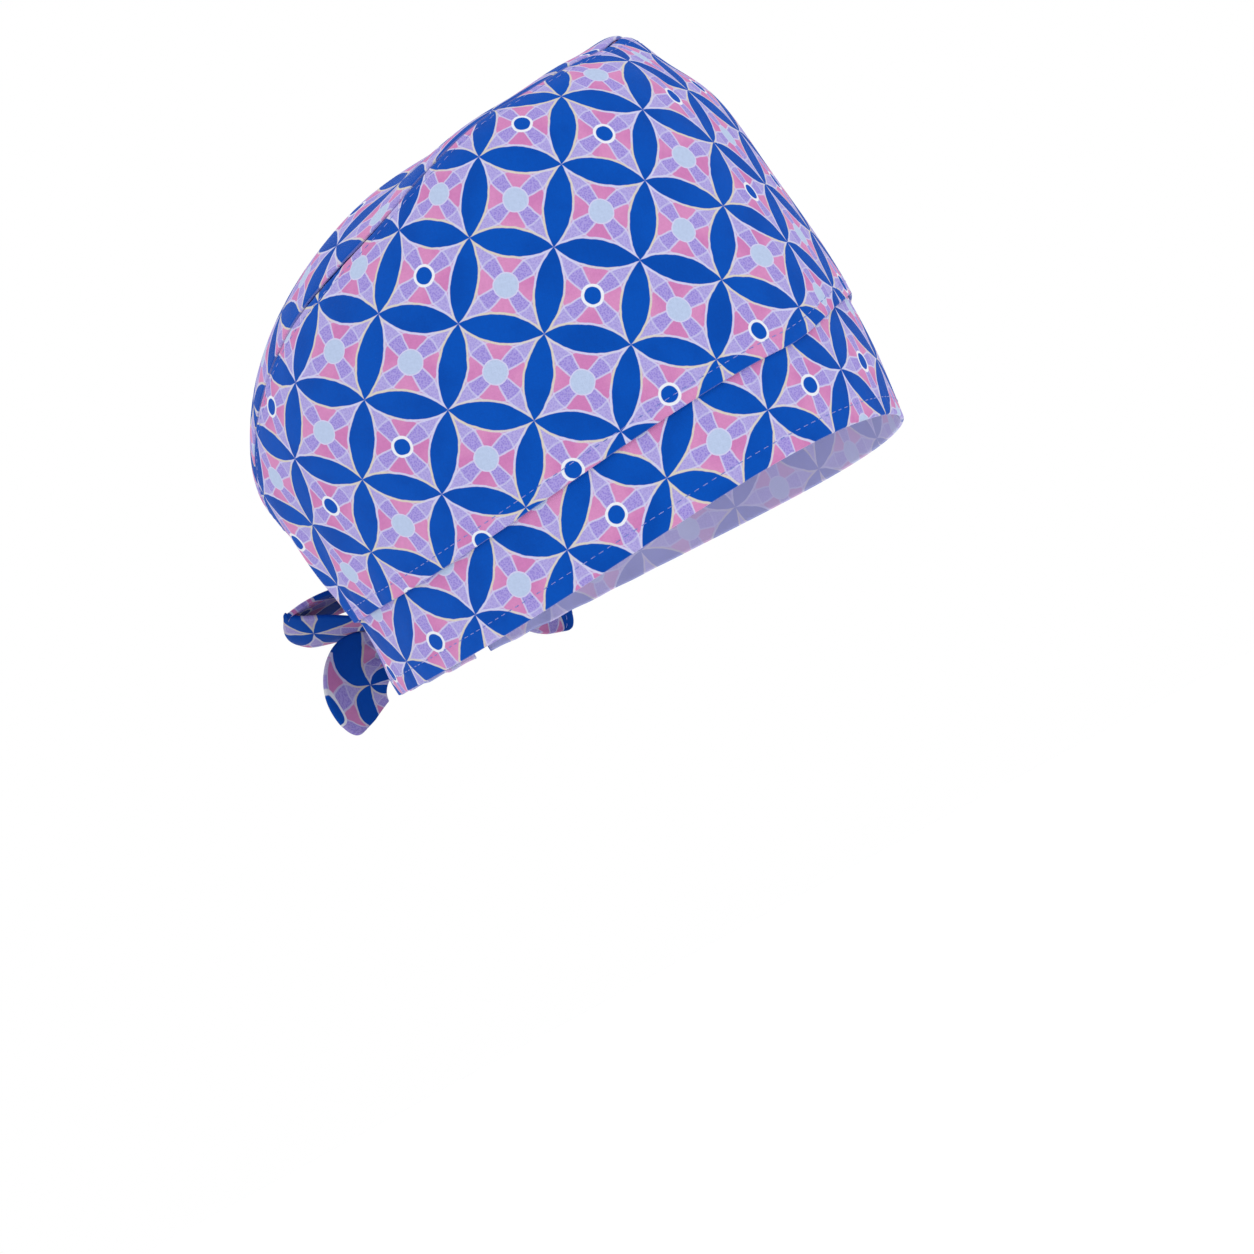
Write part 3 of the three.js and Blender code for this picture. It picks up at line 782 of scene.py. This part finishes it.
def catmull(rows, count):
    """A smooth line through the rows: centripetal Catmull-Rom, as many points as count."""
    p = np.asarray(rows, float)
    p = np.concatenate([[2 * p[0] - p[1]], p, [2 * p[-1] - p[-2]]])
    t = np.linspace(0, len(rows) - 1, count)
    i = np.clip(t.astype(int), 0, len(rows) - 2)
    w = (t - i)[:, None]
    a, b, c, d = p[i], p[i + 1], p[i + 2], p[i + 3]
    g0, g1, g2 = (np.sqrt(np.linalg.norm(q - r, axis=1, keepdims=True)) for q, r in ((b, a), (c, b), (d, c)))
    m1 = ((b - a) / g0 - (c - a) / (g0 + g1) + (c - b) / g1) * g1
    m2 = ((c - b) / g1 - (d - b) / (g1 + g2) + (d - c) / g2) * g1
    return (b * (2 * w ** 3 - 3 * w ** 2 + 1) + m1 * (w ** 3 - 2 * w ** 2 + w)
            + c * (3 * w ** 2 - 2 * w ** 3) + m2 * (w ** 3 - w ** 2))


def knot_centre():
    """Where the knot sits: its front bears on the cloth at the nape over its middle half."""
    along = KNOT_HEIGHT + KNOT_HALF[2] * (np.linspace(0, 1, 9) - 0.5)
    depth = np.where(along < band_top(np.array([180.0])), UNDER, 0.0)
    rise = rise_at(np.array([180.0]), along[None, :])
    back = body_point(180.0, rise)[0, :, 1] + GATHER_DEPTH * np.exp(
        -(((along - band_top(180.0)) / GATHER_REACH) ** 2)) * math.cos(GATHER_COUNT * math.pi) - depth
    return np.array([0.0, back.max() + CLEARANCE + KNOT_HALF[1], KNOT_HEIGHT])


def strap(name, hand, rows, flat, slot, node, turn, pinch, curl):
    """A folded strap of cloth along a line in an upright plane, pinched into pleats at the knot.

    The section is a rounded slab: width coordinate w from -1 to 1 and half a thickness either
    side. Pleats raise it by a cosine of w that grows as the strap narrows; curl bends the
    edges over by w squared. A flat strap lies in the plane of its line, has no pleats at its free
    end, and its lower edge is a quadratic of the share of the length, fitted with ten times the
    weight near both ends, so that the edge doesn't fold over itself at the bend.
    """
    sweep = math.radians(BOW_SWEEP)
    out = np.array([hand * math.cos(sweep), math.sin(sweep), 0.0])
    up = np.array([0.0, 0.0, 1.0])
    across = np.array([-hand * math.sin(sweep), math.cos(sweep), 0.0])
    sections, wide = 120, 36
    line = catmull(rows, sections)
    step = np.gradient(line[:, :2], axis=0)
    step /= np.linalg.norm(step, axis=1, keepdims=True)
    forward = out * step[:, :1] + up * step[:, 1:]
    plane = up * step[:, :1] - out * step[:, 1:]
    if flat:
        width = plane
    else:
        width = across + up * line[:, 3:4] + out * line[:, 4:5]
        width = width / np.linalg.norm(width, axis=1, keepdims=True)
    face = np.cross(forward, width)
    face /= np.linalg.norm(face, axis=1, keepdims=True)
    centre = knot_centre() + out * line[:, :1] + up * line[:, 1:2]
    measure = np.concatenate([[0], np.cumsum(np.linalg.norm(np.diff(centre, axis=0), axis=1))])
    share = measure / measure[-1]
    radius = STRAP / 2 * 0.8
    half = line[:, 2] / 2
    w = np.linspace(-1, 1, wide)
    arc = np.linspace(0, np.pi, FOLD + 2)[1:-1]
    # section loop: outer face, right edge, inner face, left edge
    loop_w = np.concatenate([w, np.ones(FOLD), w[::-1], -np.ones(FOLD)])
    push = np.concatenate([np.zeros(wide), np.sin(arc), np.zeros(wide), -np.sin(arc)])
    side = np.concatenate([np.ones(wide), np.cos(arc), -np.ones(wide), -np.cos(arc)])
    tight = (1 - line[:, 2] / STRAP_WIDTH)[:, None]
    ends = smooth(tight, 0.0, 0.55)
    if flat:
        ends = ends * (1 - smooth(share, 0.40, 0.70))[:, None]
    wave = (pinch * ends * np.cos(3.2 * np.pi * loop_w[None, :] + 0.6 + 0.8 * hand)
            + STRAP_DRIFT * (1 - ends) * np.sin(measure[:, None] * 95 + 2.1 * loop_w[None, :] + hand)
            + curl * loop_w[None, :] ** 2 * (1 - 0.6 * ends))
    low = width * -half[:, None]
    if flat:
        weight = 1 + 9 * (np.abs(share - 0.5) > 0.42)
        edge = np.polynomial.polynomial.polyfit(share, centre + low, 2, w=weight)
        low = np.polynomial.polynomial.polyval(share, edge).T - centre
    span = np.linalg.norm(low, axis=1, keepdims=True)
    to_low, to_high = low * (1 - radius / span), width * (half - radius)[:, None]
    reach = np.abs(loop_w)[None, :, None]
    rounding = radius * np.abs(push)[None, :, None]
    aside = np.where((loop_w < 0)[None, :, None],
                     reach * to_low[:, None, :] + rounding * (low / span)[:, None, :],
                     reach * to_high[:, None, :] + rounding * width[:, None, :])
    points = centre[:, None, :] + aside + face[:, None, :] * (wave + radius * side[None, :])[..., None]
    total = len(loop_w)
    quads = grid_faces(sections, total, loop=True)
    k = np.arange(wide - 1)
    inner = wide + FOLD + (wide - 1 - k)
    cap = np.stack([k, k + 1, inner - 1, inner], -1)
    tris = np.array([(wide - 1, wide - 1 + i, wide + i) for i in range(1, FOLD + 1)]
                    + [(0, total - i, total - i - 1) for i in range(1, FOLD + 1)])
    last = (sections - 1) * total
    quads = np.concatenate([quads, cap, last + cap[:, ::-1]])
    tris = np.concatenate([tris, last + tris[:, ::-1]])
    uv_across = np.broadcast_to(loop_w[None, :] * STRAP_WIDTH / 2, wave.shape)
    uv_up = np.broadcast_to(measure[:, None], wave.shape)
    uv = lattice(uv_across, uv_up, turn, node)
    piece = new_piece(name, points, quads if hand > 0 else quads[:, ::-1],
                      tris if hand > 0 else tris[:, ::-1], printed(slot), uv, np.zeros(wave.shape))
    return piece, measure[-1], [(points[:, round(wide * s)], face) for s in (0.13, 0.87)]


def fix_outward(piece):
    """Turns the faces outwards where the closed shape came out inside out."""
    mesh = piece.data
    points = np.empty(len(mesh.vertices) * 3)
    mesh.vertices.foreach_get("co", points)
    points = points.reshape(-1, 3)
    mesh.calc_loop_triangles()
    tris = np.empty(len(mesh.loop_triangles) * 3, int)
    mesh.loop_triangles.foreach_get("vertices", tris)
    a, b, c = (points[tris.reshape(-1, 3)[:, k]] for k in range(3))
    if np.einsum("ij,ij->i", a, np.cross(b, c)).sum() < 0:
        mesh.flip_normals()


def picked_colour(name, description, default):
    """A colour that the user may change."""
    return bpy.props.FloatVectorProperty(
        name=name, description=description, default=default, subtype="COLOR", size=3)


def picked_size(name, description, default, unit):
    """A size or power that the user may change."""
    return bpy.props.FloatProperty(name=name, description=description, default=default, unit=unit)


class PrintSettings(bpy.types.PropertyGroup):
    pitch: picked_size("Pattern square", "Side of one square of the print", 0.0261, "LENGTH")
    thread: picked_size("Thread pitch", "Spacing of the woven threads", 0.00045, "LENGTH")
    blue: picked_colour("Petals", "Blue of the petals", (0.001, 0.088, 0.520))
    blue_deep: picked_colour("Petals, deeper", "Second tone of the petals", (0.0005, 0.074, 0.455))
    lilac: picked_colour("Leaves", "Lilac of the leaves", (0.43, 0.36, 0.80))
    lilac_dots: picked_colour("Leaf dots", "Dots on the leaves", (0.25, 0.18, 0.66))
    pink: picked_colour("Pink", "Pink between the leaves", (0.73, 0.29, 0.57))
    pink_deep: picked_colour("Pink, deeper", "Second tone of the pink", (0.66, 0.23, 0.52))
    disc: picked_colour("Pale disc", "Pale middle of a rosette", (0.53, 0.64, 0.88))
    ring: picked_colour("Ring", "White ring round a blue middle", (0.90, 0.93, 1.0))
    outline: picked_colour("Outline", "Fine lines round the leaves", (0.68, 0.68, 0.93))
    edge: picked_colour("Petal edge", "Pale line round the petals", (0.74, 0.69, 0.58))
    back: picked_colour("Back of the cloth", "Paler wrong side", (0.62, 0.60, 0.84))
    thread_colour: picked_colour("Thread", "Sewing thread", (0.22, 0.27, 0.66))
    # Painted shade between the thread's plies.
    thread_painted_shade: picked_colour("Thread, shaded", "Between the plies", (0.10, 0.14, 0.48))


class SewingSettings(bpy.types.PropertyGroup):
    stitch: picked_size("Stitch length", "Length of one stitch", 0.0021, "LENGTH")
    gap: picked_size("Stitch gap", "Gap between stitches", 0.0010, "LENGTH")
    thick: picked_size("Thread width", "Width of the thread", 0.00028, "LENGTH")
    pinch: picked_size("Pleat height", "Height of the pleats at the knot", 0.0011, "LENGTH")


class StudioSettings(bpy.types.PropertyGroup):
    drop: picked_size("Floor below the rim", "Distance from rim to floor", 0.42, "LENGTH")
    key: picked_size("Key light", "Power of the large key light", 11.0, "POWER")
    fill: picked_size("Fill light", "Power of the fill light", 4.0, "POWER")
    world: bpy.props.FloatProperty(
        name="Ambient", description="Strength of the white surroundings", default=1.0)


def cloth_wall(name, node, at, lower, upper, depths, rows, uv_of, slot):
    """One wall of cloth round the head, between a lower and an upper edge, closed all round."""
    along, deep, marks = wall_profile(lower, upper, depths, rows)
    points, _ = cloth_point(at, along, deep)
    n, total = along.shape
    caps, tris = end_caps(n, rows, total)
    quads = np.concatenate([grid_faces(n, total, loop=True), caps])
    piece = new_piece(name, points, quads, tris, printed(slot), uv_of(at, along), marks)
    fix_outward(piece)
    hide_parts(node)
    return piece


def line_on(at, along, lift=0.0):
    """Points and normals of a line on the cloth, lifted off its outer face."""
    points, normals = cloth_point(at, along[:, None], -(lift + 0 * along)[:, None])
    return points[:, 0], normals[:, 0]


class SCRUBCAP_OT_band(bpy.types.Operator):
    """Brim band with its turned hem and the row of stitches along it"""
    bl_idname = "scrubcap.band"
    bl_label = "Brim band"

    def execute(self, context):
        at = places(-BAND_END, BAND_END, 0.8)
        top = band_top(at)

        def depths(along):
            share = along / top[:, None]
            ease = np.interp(share.ravel(), [0, 0.5, 1 - SEAM_SINK / BAND_HEIGHT, 1, 2], [0, 0.35, 1, 1, 1])
            return UNDER * ease.reshape(share.shape)

        cloth_wall("brim_band_cloth", "brim_band", at, 0 * at, top + LAP, depths, 44, band_uv, "band_cloth")
        line = places(-BAND_END + 1, BAND_END - 1, 0.4)
        share = HEM_STITCH / band_top(line)
        sunk = UNDER * np.interp(share, [0, 0.5, 1], [0, 0.35, 1])
        points, normals = line_on(line, np.full(len(line), HEM_STITCH), -sunk)
        stitches("hem_stitches", points, normals)
        return {"FINISHED"}


class SCRUBCAP_OT_wrap(bpy.types.Operator):
    """Side wrap that laps over the band and folds in under the crown, with its stitch rows"""
    bl_idname = "scrubcap.wrap"
    bl_label = "Side wrap"

    def execute(self, context):
        at = places(-WRAP_REACH, WRAP_REACH, 0.75)
        turn = np.abs(at)
        tucked = smooth(turn, *WRAP_TUCKS)
        raised = smooth(turn, *WRAP_RISES)
        lower = band_top(at) + (LAP + CLEARANCE) * raised
        seam = seam_along(at)

        def depths(along):
            fold = smooth(along, (seam - SEAM_SINK)[:, None], seam[:, None] + 0.2 * MM)
            return UNDER * np.maximum(fold, tucked[:, None])

        cloth_wall("side_wrap_cloth", "side_wrap", at, lower, seam + LAP, depths, 84, wrap_uv, "wrap_cloth")
        line = places(-SEWN_REACH, SEWN_REACH, 0.35)
        points, normals = line_on(line, band_top(line) + BAND_STITCH)
        stitches("band_seam_stitches", points, normals)
        points, normals = line_on(line, seam_along(line) - CROWN_STITCH)
        stitches("crown_seam_stitches", points, normals)
        return {"FINISHED"}


class SCRUBCAP_OT_crown(bpy.types.Operator):
    """Crown panel over the top and down the back, gathered at the nape"""
    bl_idname = "scrubcap.crown"
    bl_label = "Crown panel"

    def execute(self, context):
        at = np.arange(400) * 0.9 - 180 + 0.9
        turn = np.abs(at)
        over = 1 - smooth(turn, *CROWN_DROPS)
        seam, total = seam_along(at), total_along(at)
        edge = band_top(at) + (seam + CLEARANCE - band_top(at)) * over
        radius, rows = CLOTH / 2, 76
        t = (1 - np.cos(np.linspace(0, np.pi, rows))) / 2
        t = 0.5 * t + 0.5 * np.linspace(0, 1, rows)
        along = (edge + radius)[:, None] + (total - edge - radius)[:, None] * t[None, :-1]
        arc_a, arc_d = edge_arc(edge, np.full(len(at), radius), radius, 1)
        alongs = np.concatenate([along[:, ::-1], arc_a[:, 1:-1], along], 1)
        flat = np.zeros_like(along)
        deep = np.concatenate([flat, arc_d[:, 1:-1], flat + CLOTH], 1)
        marks = np.concatenate([np.zeros(rows - 1), np.linspace(0, 1, FOLD), np.ones(rows - 1)])
        points, _ = cloth_point(at, alongs, deep)
        top = body_point(0.0, 2.0) + np.array([[0, 0, 1.0]]) * np.array([[0.0], [-CLOTH]])
        uv = crown_uv(at, alongs, total)
        n, m = alongs.shape
        i = np.arange(n)
        outer = np.stack([i * m, np.full(n, n * m), (i + 1) % n * m], -1)
        inner = np.stack([i * m + m - 1, (i + 1) % n * m + m - 1, np.full(n, n * m + 1)], -1)
        pole_uv = crown_uv(np.array([180.0]), total[:1][None, :], total[:1])[0]
        piece = new_piece(
            "crown_panel_cloth", np.concatenate([points.reshape(-1, 3), top]),
            grid_faces(n, m, ring=True), np.concatenate([outer, inner]), printed("crown_cloth"),
            np.concatenate([uv.reshape(-1, 2), pole_uv, pole_uv]),
            np.concatenate([np.broadcast_to(marks, alongs.shape).ravel(), [0.0, 1.0]]))
        fix_outward(piece)
        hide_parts("crown_panel")
        return {"FINISHED"}


class SCRUBCAP_OT_knot(bpy.types.Operator):
    """Knot at the nape, wound with the folds of the strap that goes round it"""
    bl_idname = "scrubcap.knot"
    bl_label = "Tie knot"

    def execute(self, context):
        """Blunted ellipsoid, raised by ridges that run over it from top to bottom."""
        around, rows = 180, 110
        turn = (np.arange(around) * 2 * np.pi / around)[:, None]
        lift = np.linspace(-np.pi / 2, np.pi / 2, rows + 2)[None, 1:-1]

        def blunt(value, power):
            return np.sign(value) * np.abs(value) ** power

        across = blunt(np.cos(turn), 0.55) * blunt(np.cos(lift), 0.6)
        deepness = blunt(np.sin(turn), 0.8) * blunt(np.cos(lift), 0.6)
        height = blunt(np.sin(lift), 0.8) + 0 * turn
        slant = across + 0.16 * height
        ridge = 0.5 + 0.5 * np.cos(2 * np.pi * 2.1 * slant + 0.5)
        ridge = ridge ** 0.6 * (0.75 + 0.25 * np.cos(5 * height))
        size = 1.0 - 0.10 * (1 - ridge) - 0.03 * np.cos(9 * height + 3 * across)
        points = np.stack([across * KNOT_HALF[0] * (1 - 0.05 * (1 - ridge)), deepness * KNOT_HALF[1] * size,
                           height * KNOT_HALF[2] * (0.97 + 0.03 * ridge)], -1) + knot_centre()
        ends = np.array([[0, 0, -KNOT_HALF[2] * 0.97], [0, 0, KNOT_HALF[2] * 0.97]]) + knot_centre()
        n, m = around, rows
        i = np.arange(n)
        low = np.stack([i * m, (i + 1) % n * m, np.full(n, n * m)], -1)[:, ::-1]
        high = np.stack([i * m + m - 1, (i + 1) % n * m + m - 1, np.full(n, n * m + 1)], -1)
        uv = lattice(across * 0.014, height * 0.016, 30, (0.003, 0.006))
        uv = np.concatenate([uv.reshape(-1, 2), np.zeros((2, 2))])
        piece = new_piece("tie_knot_cloth", np.concatenate([points.reshape(-1, 3), ends]),
                          grid_faces(n, m, ring=True), np.concatenate([low, high]), printed("tie_cloth"),
                          uv, np.zeros(n * m + 2))
        fix_outward(piece)
        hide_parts("tie_knot")
        return {"FINISHED"}


class SCRUBCAP_OT_ties(bpy.types.Operator):
    """Two loops and two tails of the bow, pleated where the knot holds them"""
    bl_idname = "scrubcap.ties"
    bl_label = "Loops and tails"

    def execute(self, context):
        pinch = context.scene.scrub_cap_sewing.pinch
        for word, hand in (("right", -1), ("left", 1)):
            loop = [(out * LOOP_REACH, up * KNOT_HALF[2], wide * STRAP_WIDTH, lean, skew)
                    for out, up, wide, lean, skew in LOOP_PATH]
            piece, run, rows = strap(f"{word}_tie_loop_cloth", hand, loop, False, "tie_cloth",
                                     (0.004 * hand, 0.020), 45.0, pinch, LOOP_CURL * hand)
            fix_outward(piece)
            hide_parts(f"{word}_tie_loop")
            self.sew_edges(piece, rows, f"{word}_loop_front_stitches", f"{word}_loop_back_stitches")
            tail = [(out * TAIL_OUT, -down * TAIL_DROP, wide * STRAP_WIDTH) for out, down, wide in TAIL_PATH]
            piece, run, rows = strap(f"{word}_tie_tail_cloth", hand, tail, True, "tie_cloth",
                                     (0.006 * hand, 0.033), 28.0, pinch, TAIL_CURL * hand)
            fix_outward(piece)
            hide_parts(f"{word}_tie_tail")
            self.sew_edges(piece, rows, f"{word}_tail_upper_stitches", f"{word}_tail_lower_stitches")
        return {"FINISHED"}

    def sew_edges(self, piece, rows, *names):
        """A row of stitches along each edge, on the side that faces away from the strap's middle."""
        for name, (line, normal) in zip(names, rows):
            stitches(name, line, normal * self.outward(piece, line, normal))

    @staticmethod
    def outward(piece, line, normal):
        """One where the rows' normals already point away from the strap's own middle."""
        points = np.empty(len(piece.data.vertices) * 3)
        piece.data.vertices.foreach_get("co", points)
        total = len(points) // 3 // len(line)
        middle = points.reshape(len(line), total, 3).mean(axis=1)
        way = np.einsum("ij,ij->i", line - middle, normal)
        return 1.0 if way.sum() > 0 else -1.0


class SCRUBCAP_OT_stage(bpy.types.Operator):
    """Pale floor, white surroundings, soft studio lights and the camera"""
    bl_idname = "scrubcap.stage"
    bl_label = "Stage, lights and camera"

    def execute(self, context):
        s = context.scene.scrub_cap_studio
        scene = context.scene
        scene.view_settings.view_transform = "Standard"
        # Floor: a flat disc far wider than the view, as rings of points round its centre.
        run = np.concatenate([np.linspace(0.1, 3.0, 12), [6.0, 12.0]])
        turn = (np.arange(64) * 2 * np.pi / 64)[:, None]
        points = np.stack([run * np.cos(turn), run * np.sin(turn), -s.drop + 0 * run * turn], -1)
        n, m = points.shape[:2]
        i = np.arange(n)
        mesh = bpy.data.meshes.new("studio_floor")
        faces = grid_faces(n, m, ring=True)[:, ::-1].tolist()
        faces += np.stack([i * m, (i + 1) % n * m, np.full(n, n * m)], -1).tolist()
        mesh.from_pydata(np.concatenate([points.reshape(-1, 3), [[0, 0, -s.drop]]]).tolist(), [], faces)
        mesh.shade_smooth()
        floor = bpy.data.objects.new("studio_floor", mesh)
        scene.collection.objects.link(floor)
        pale = bpy.data.materials.new("pale_floor")
        pale.use_nodes = True
        n2 = Nodes(pale.node_tree)
        shader = pale.node_tree.nodes["Principled BSDF"]
        mottle = n2.add("ShaderNodeTexNoise")
        n2.put(mottle.inputs["Vector"], n2.add("ShaderNodeTexCoord").outputs["Object"])
        n2.put(mottle.inputs["Scale"], 3.0)
        tone = n2.mix(mottle.outputs[0], (0.93, 0.93, 0.93, 1), (0.95, 0.95, 0.95, 1))
        n2.put(shader.inputs["Base Color"], tone)
        shader.inputs["Roughness"].default_value = 0.9
        shader.inputs["Specular IOR Level"].default_value = 0.1
        shader.inputs["Emission Color"].default_value = (1.0, 1.0, 1.0, 1.0)
        shader.inputs["Emission Strength"].default_value = 0.07
        mesh.materials.append(pale)
        world = bpy.data.worlds.new("studio_world")
        world.use_nodes = True
        world.node_tree.nodes["Background"].inputs[0].default_value = (1.0, 1.0, 1.0, 1.0)
        world.node_tree.nodes["Background"].inputs[1].default_value = s.world
        scene.world = world
        for name, power, size, place in (("key_light", s.key, 1.6, (-1.5, -1.9, 1.9)),
                                         ("fill_light", s.fill, 2.0, (2.0, -1.2, 0.9)),
                                         ("back_light", s.fill, 1.8, (0.4, 2.2, 1.6))):
            data = bpy.data.lights.new(name, "AREA")
            data.energy, data.size = power, size
            light = bpy.data.objects.new(name, data)
            way = Vector((0, 0, 0.06)) - Vector(place)
            facing = way.to_track_quat("-Z", "Y").to_matrix().to_4x4()
            light.matrix_world = Matrix.Translation(Vector(place)) @ facing
            scene.collection.objects.link(light)
        # Camera: from the wearer's right front, a little below the rim, turned with the head's tilt.
        a, e, roll = math.radians(-38), math.radians(-2.1), math.radians(-28.5)
        back = Vector((math.sin(a) * math.cos(e), -math.cos(a) * math.cos(e), math.sin(e)))
        level = Vector((math.cos(a), math.sin(a), 0))
        rise = back.cross(level)
        right = math.cos(roll) * level + math.sin(roll) * rise
        upward = -math.sin(roll) * level + math.cos(roll) * rise
        data = bpy.data.cameras.new("camera")
        data.lens, data.sensor_width, data.sensor_fit = 147.0, 36.0, "HORIZONTAL"
        data.clip_start, data.clip_end = 0.05, 30
        camera = bpy.data.objects.new("camera", data)
        distance, aside, below = 1.6, 0.0069, 0.02125
        where = back * distance - right * aside - upward * below
        turn3 = Matrix((right, upward, back)).transposed().to_4x4()
        camera.matrix_world = Matrix.Translation(where) @ turn3
        scene.collection.objects.link(camera)
        scene.camera = camera
        return {"FINISHED"}


class SCRUBCAP_PT_panel(bpy.types.Panel):
    bl_idname = "SCRUBCAP_PT_panel"
    bl_label = "Scrub Cap"
    bl_space_type = "VIEW_3D"
    bl_region_type = "UI"
    bl_category = "Scrub Cap"

    def draw(self, context):
        layout = self.layout
        scene = context.scene
        for group in (scene.scrub_cap_print, scene.scrub_cap_sewing, scene.scrub_cap_studio):
            box = layout.box()
            for key in group.bl_rna.properties.keys():
                if key not in ("rna_type", "name"):
                    box.prop(group, key)
        for maker in MAKERS:
            layout.operator(maker.bl_idname)


SETTINGS = (PrintSettings, SewingSettings, StudioSettings)
MAKERS = (SCRUBCAP_OT_band, SCRUBCAP_OT_wrap, SCRUBCAP_OT_crown, SCRUBCAP_OT_knot, SCRUBCAP_OT_ties,
          SCRUBCAP_OT_stage)


def register():
    """Adds the classes, and their settings to the scene."""
    for item in SETTINGS + MAKERS + (SCRUBCAP_PT_panel,):
        bpy.utils.register_class(item)
    bpy.types.Scene.scrub_cap_print = bpy.props.PointerProperty(type=PrintSettings)
    bpy.types.Scene.scrub_cap_sewing = bpy.props.PointerProperty(type=SewingSettings)
    bpy.types.Scene.scrub_cap_studio = bpy.props.PointerProperty(type=StudioSettings)


def unregister():
    """Takes the settings and the classes away again."""
    del bpy.types.Scene.scrub_cap_print
    del bpy.types.Scene.scrub_cap_sewing
    del bpy.types.Scene.scrub_cap_studio
    for item in reversed(SETTINGS + MAKERS + (SCRUBCAP_PT_panel,)):
        bpy.utils.unregister_class(item)


def main():
    register()
    bpy.ops.scrubcap.wrap()
    bpy.ops.scrubcap.band()
    bpy.ops.scrubcap.crown()
    bpy.ops.scrubcap.knot()
    bpy.ops.scrubcap.ties()
    bpy.ops.scrubcap.stage()


if __name__ == "__main__":
    main()
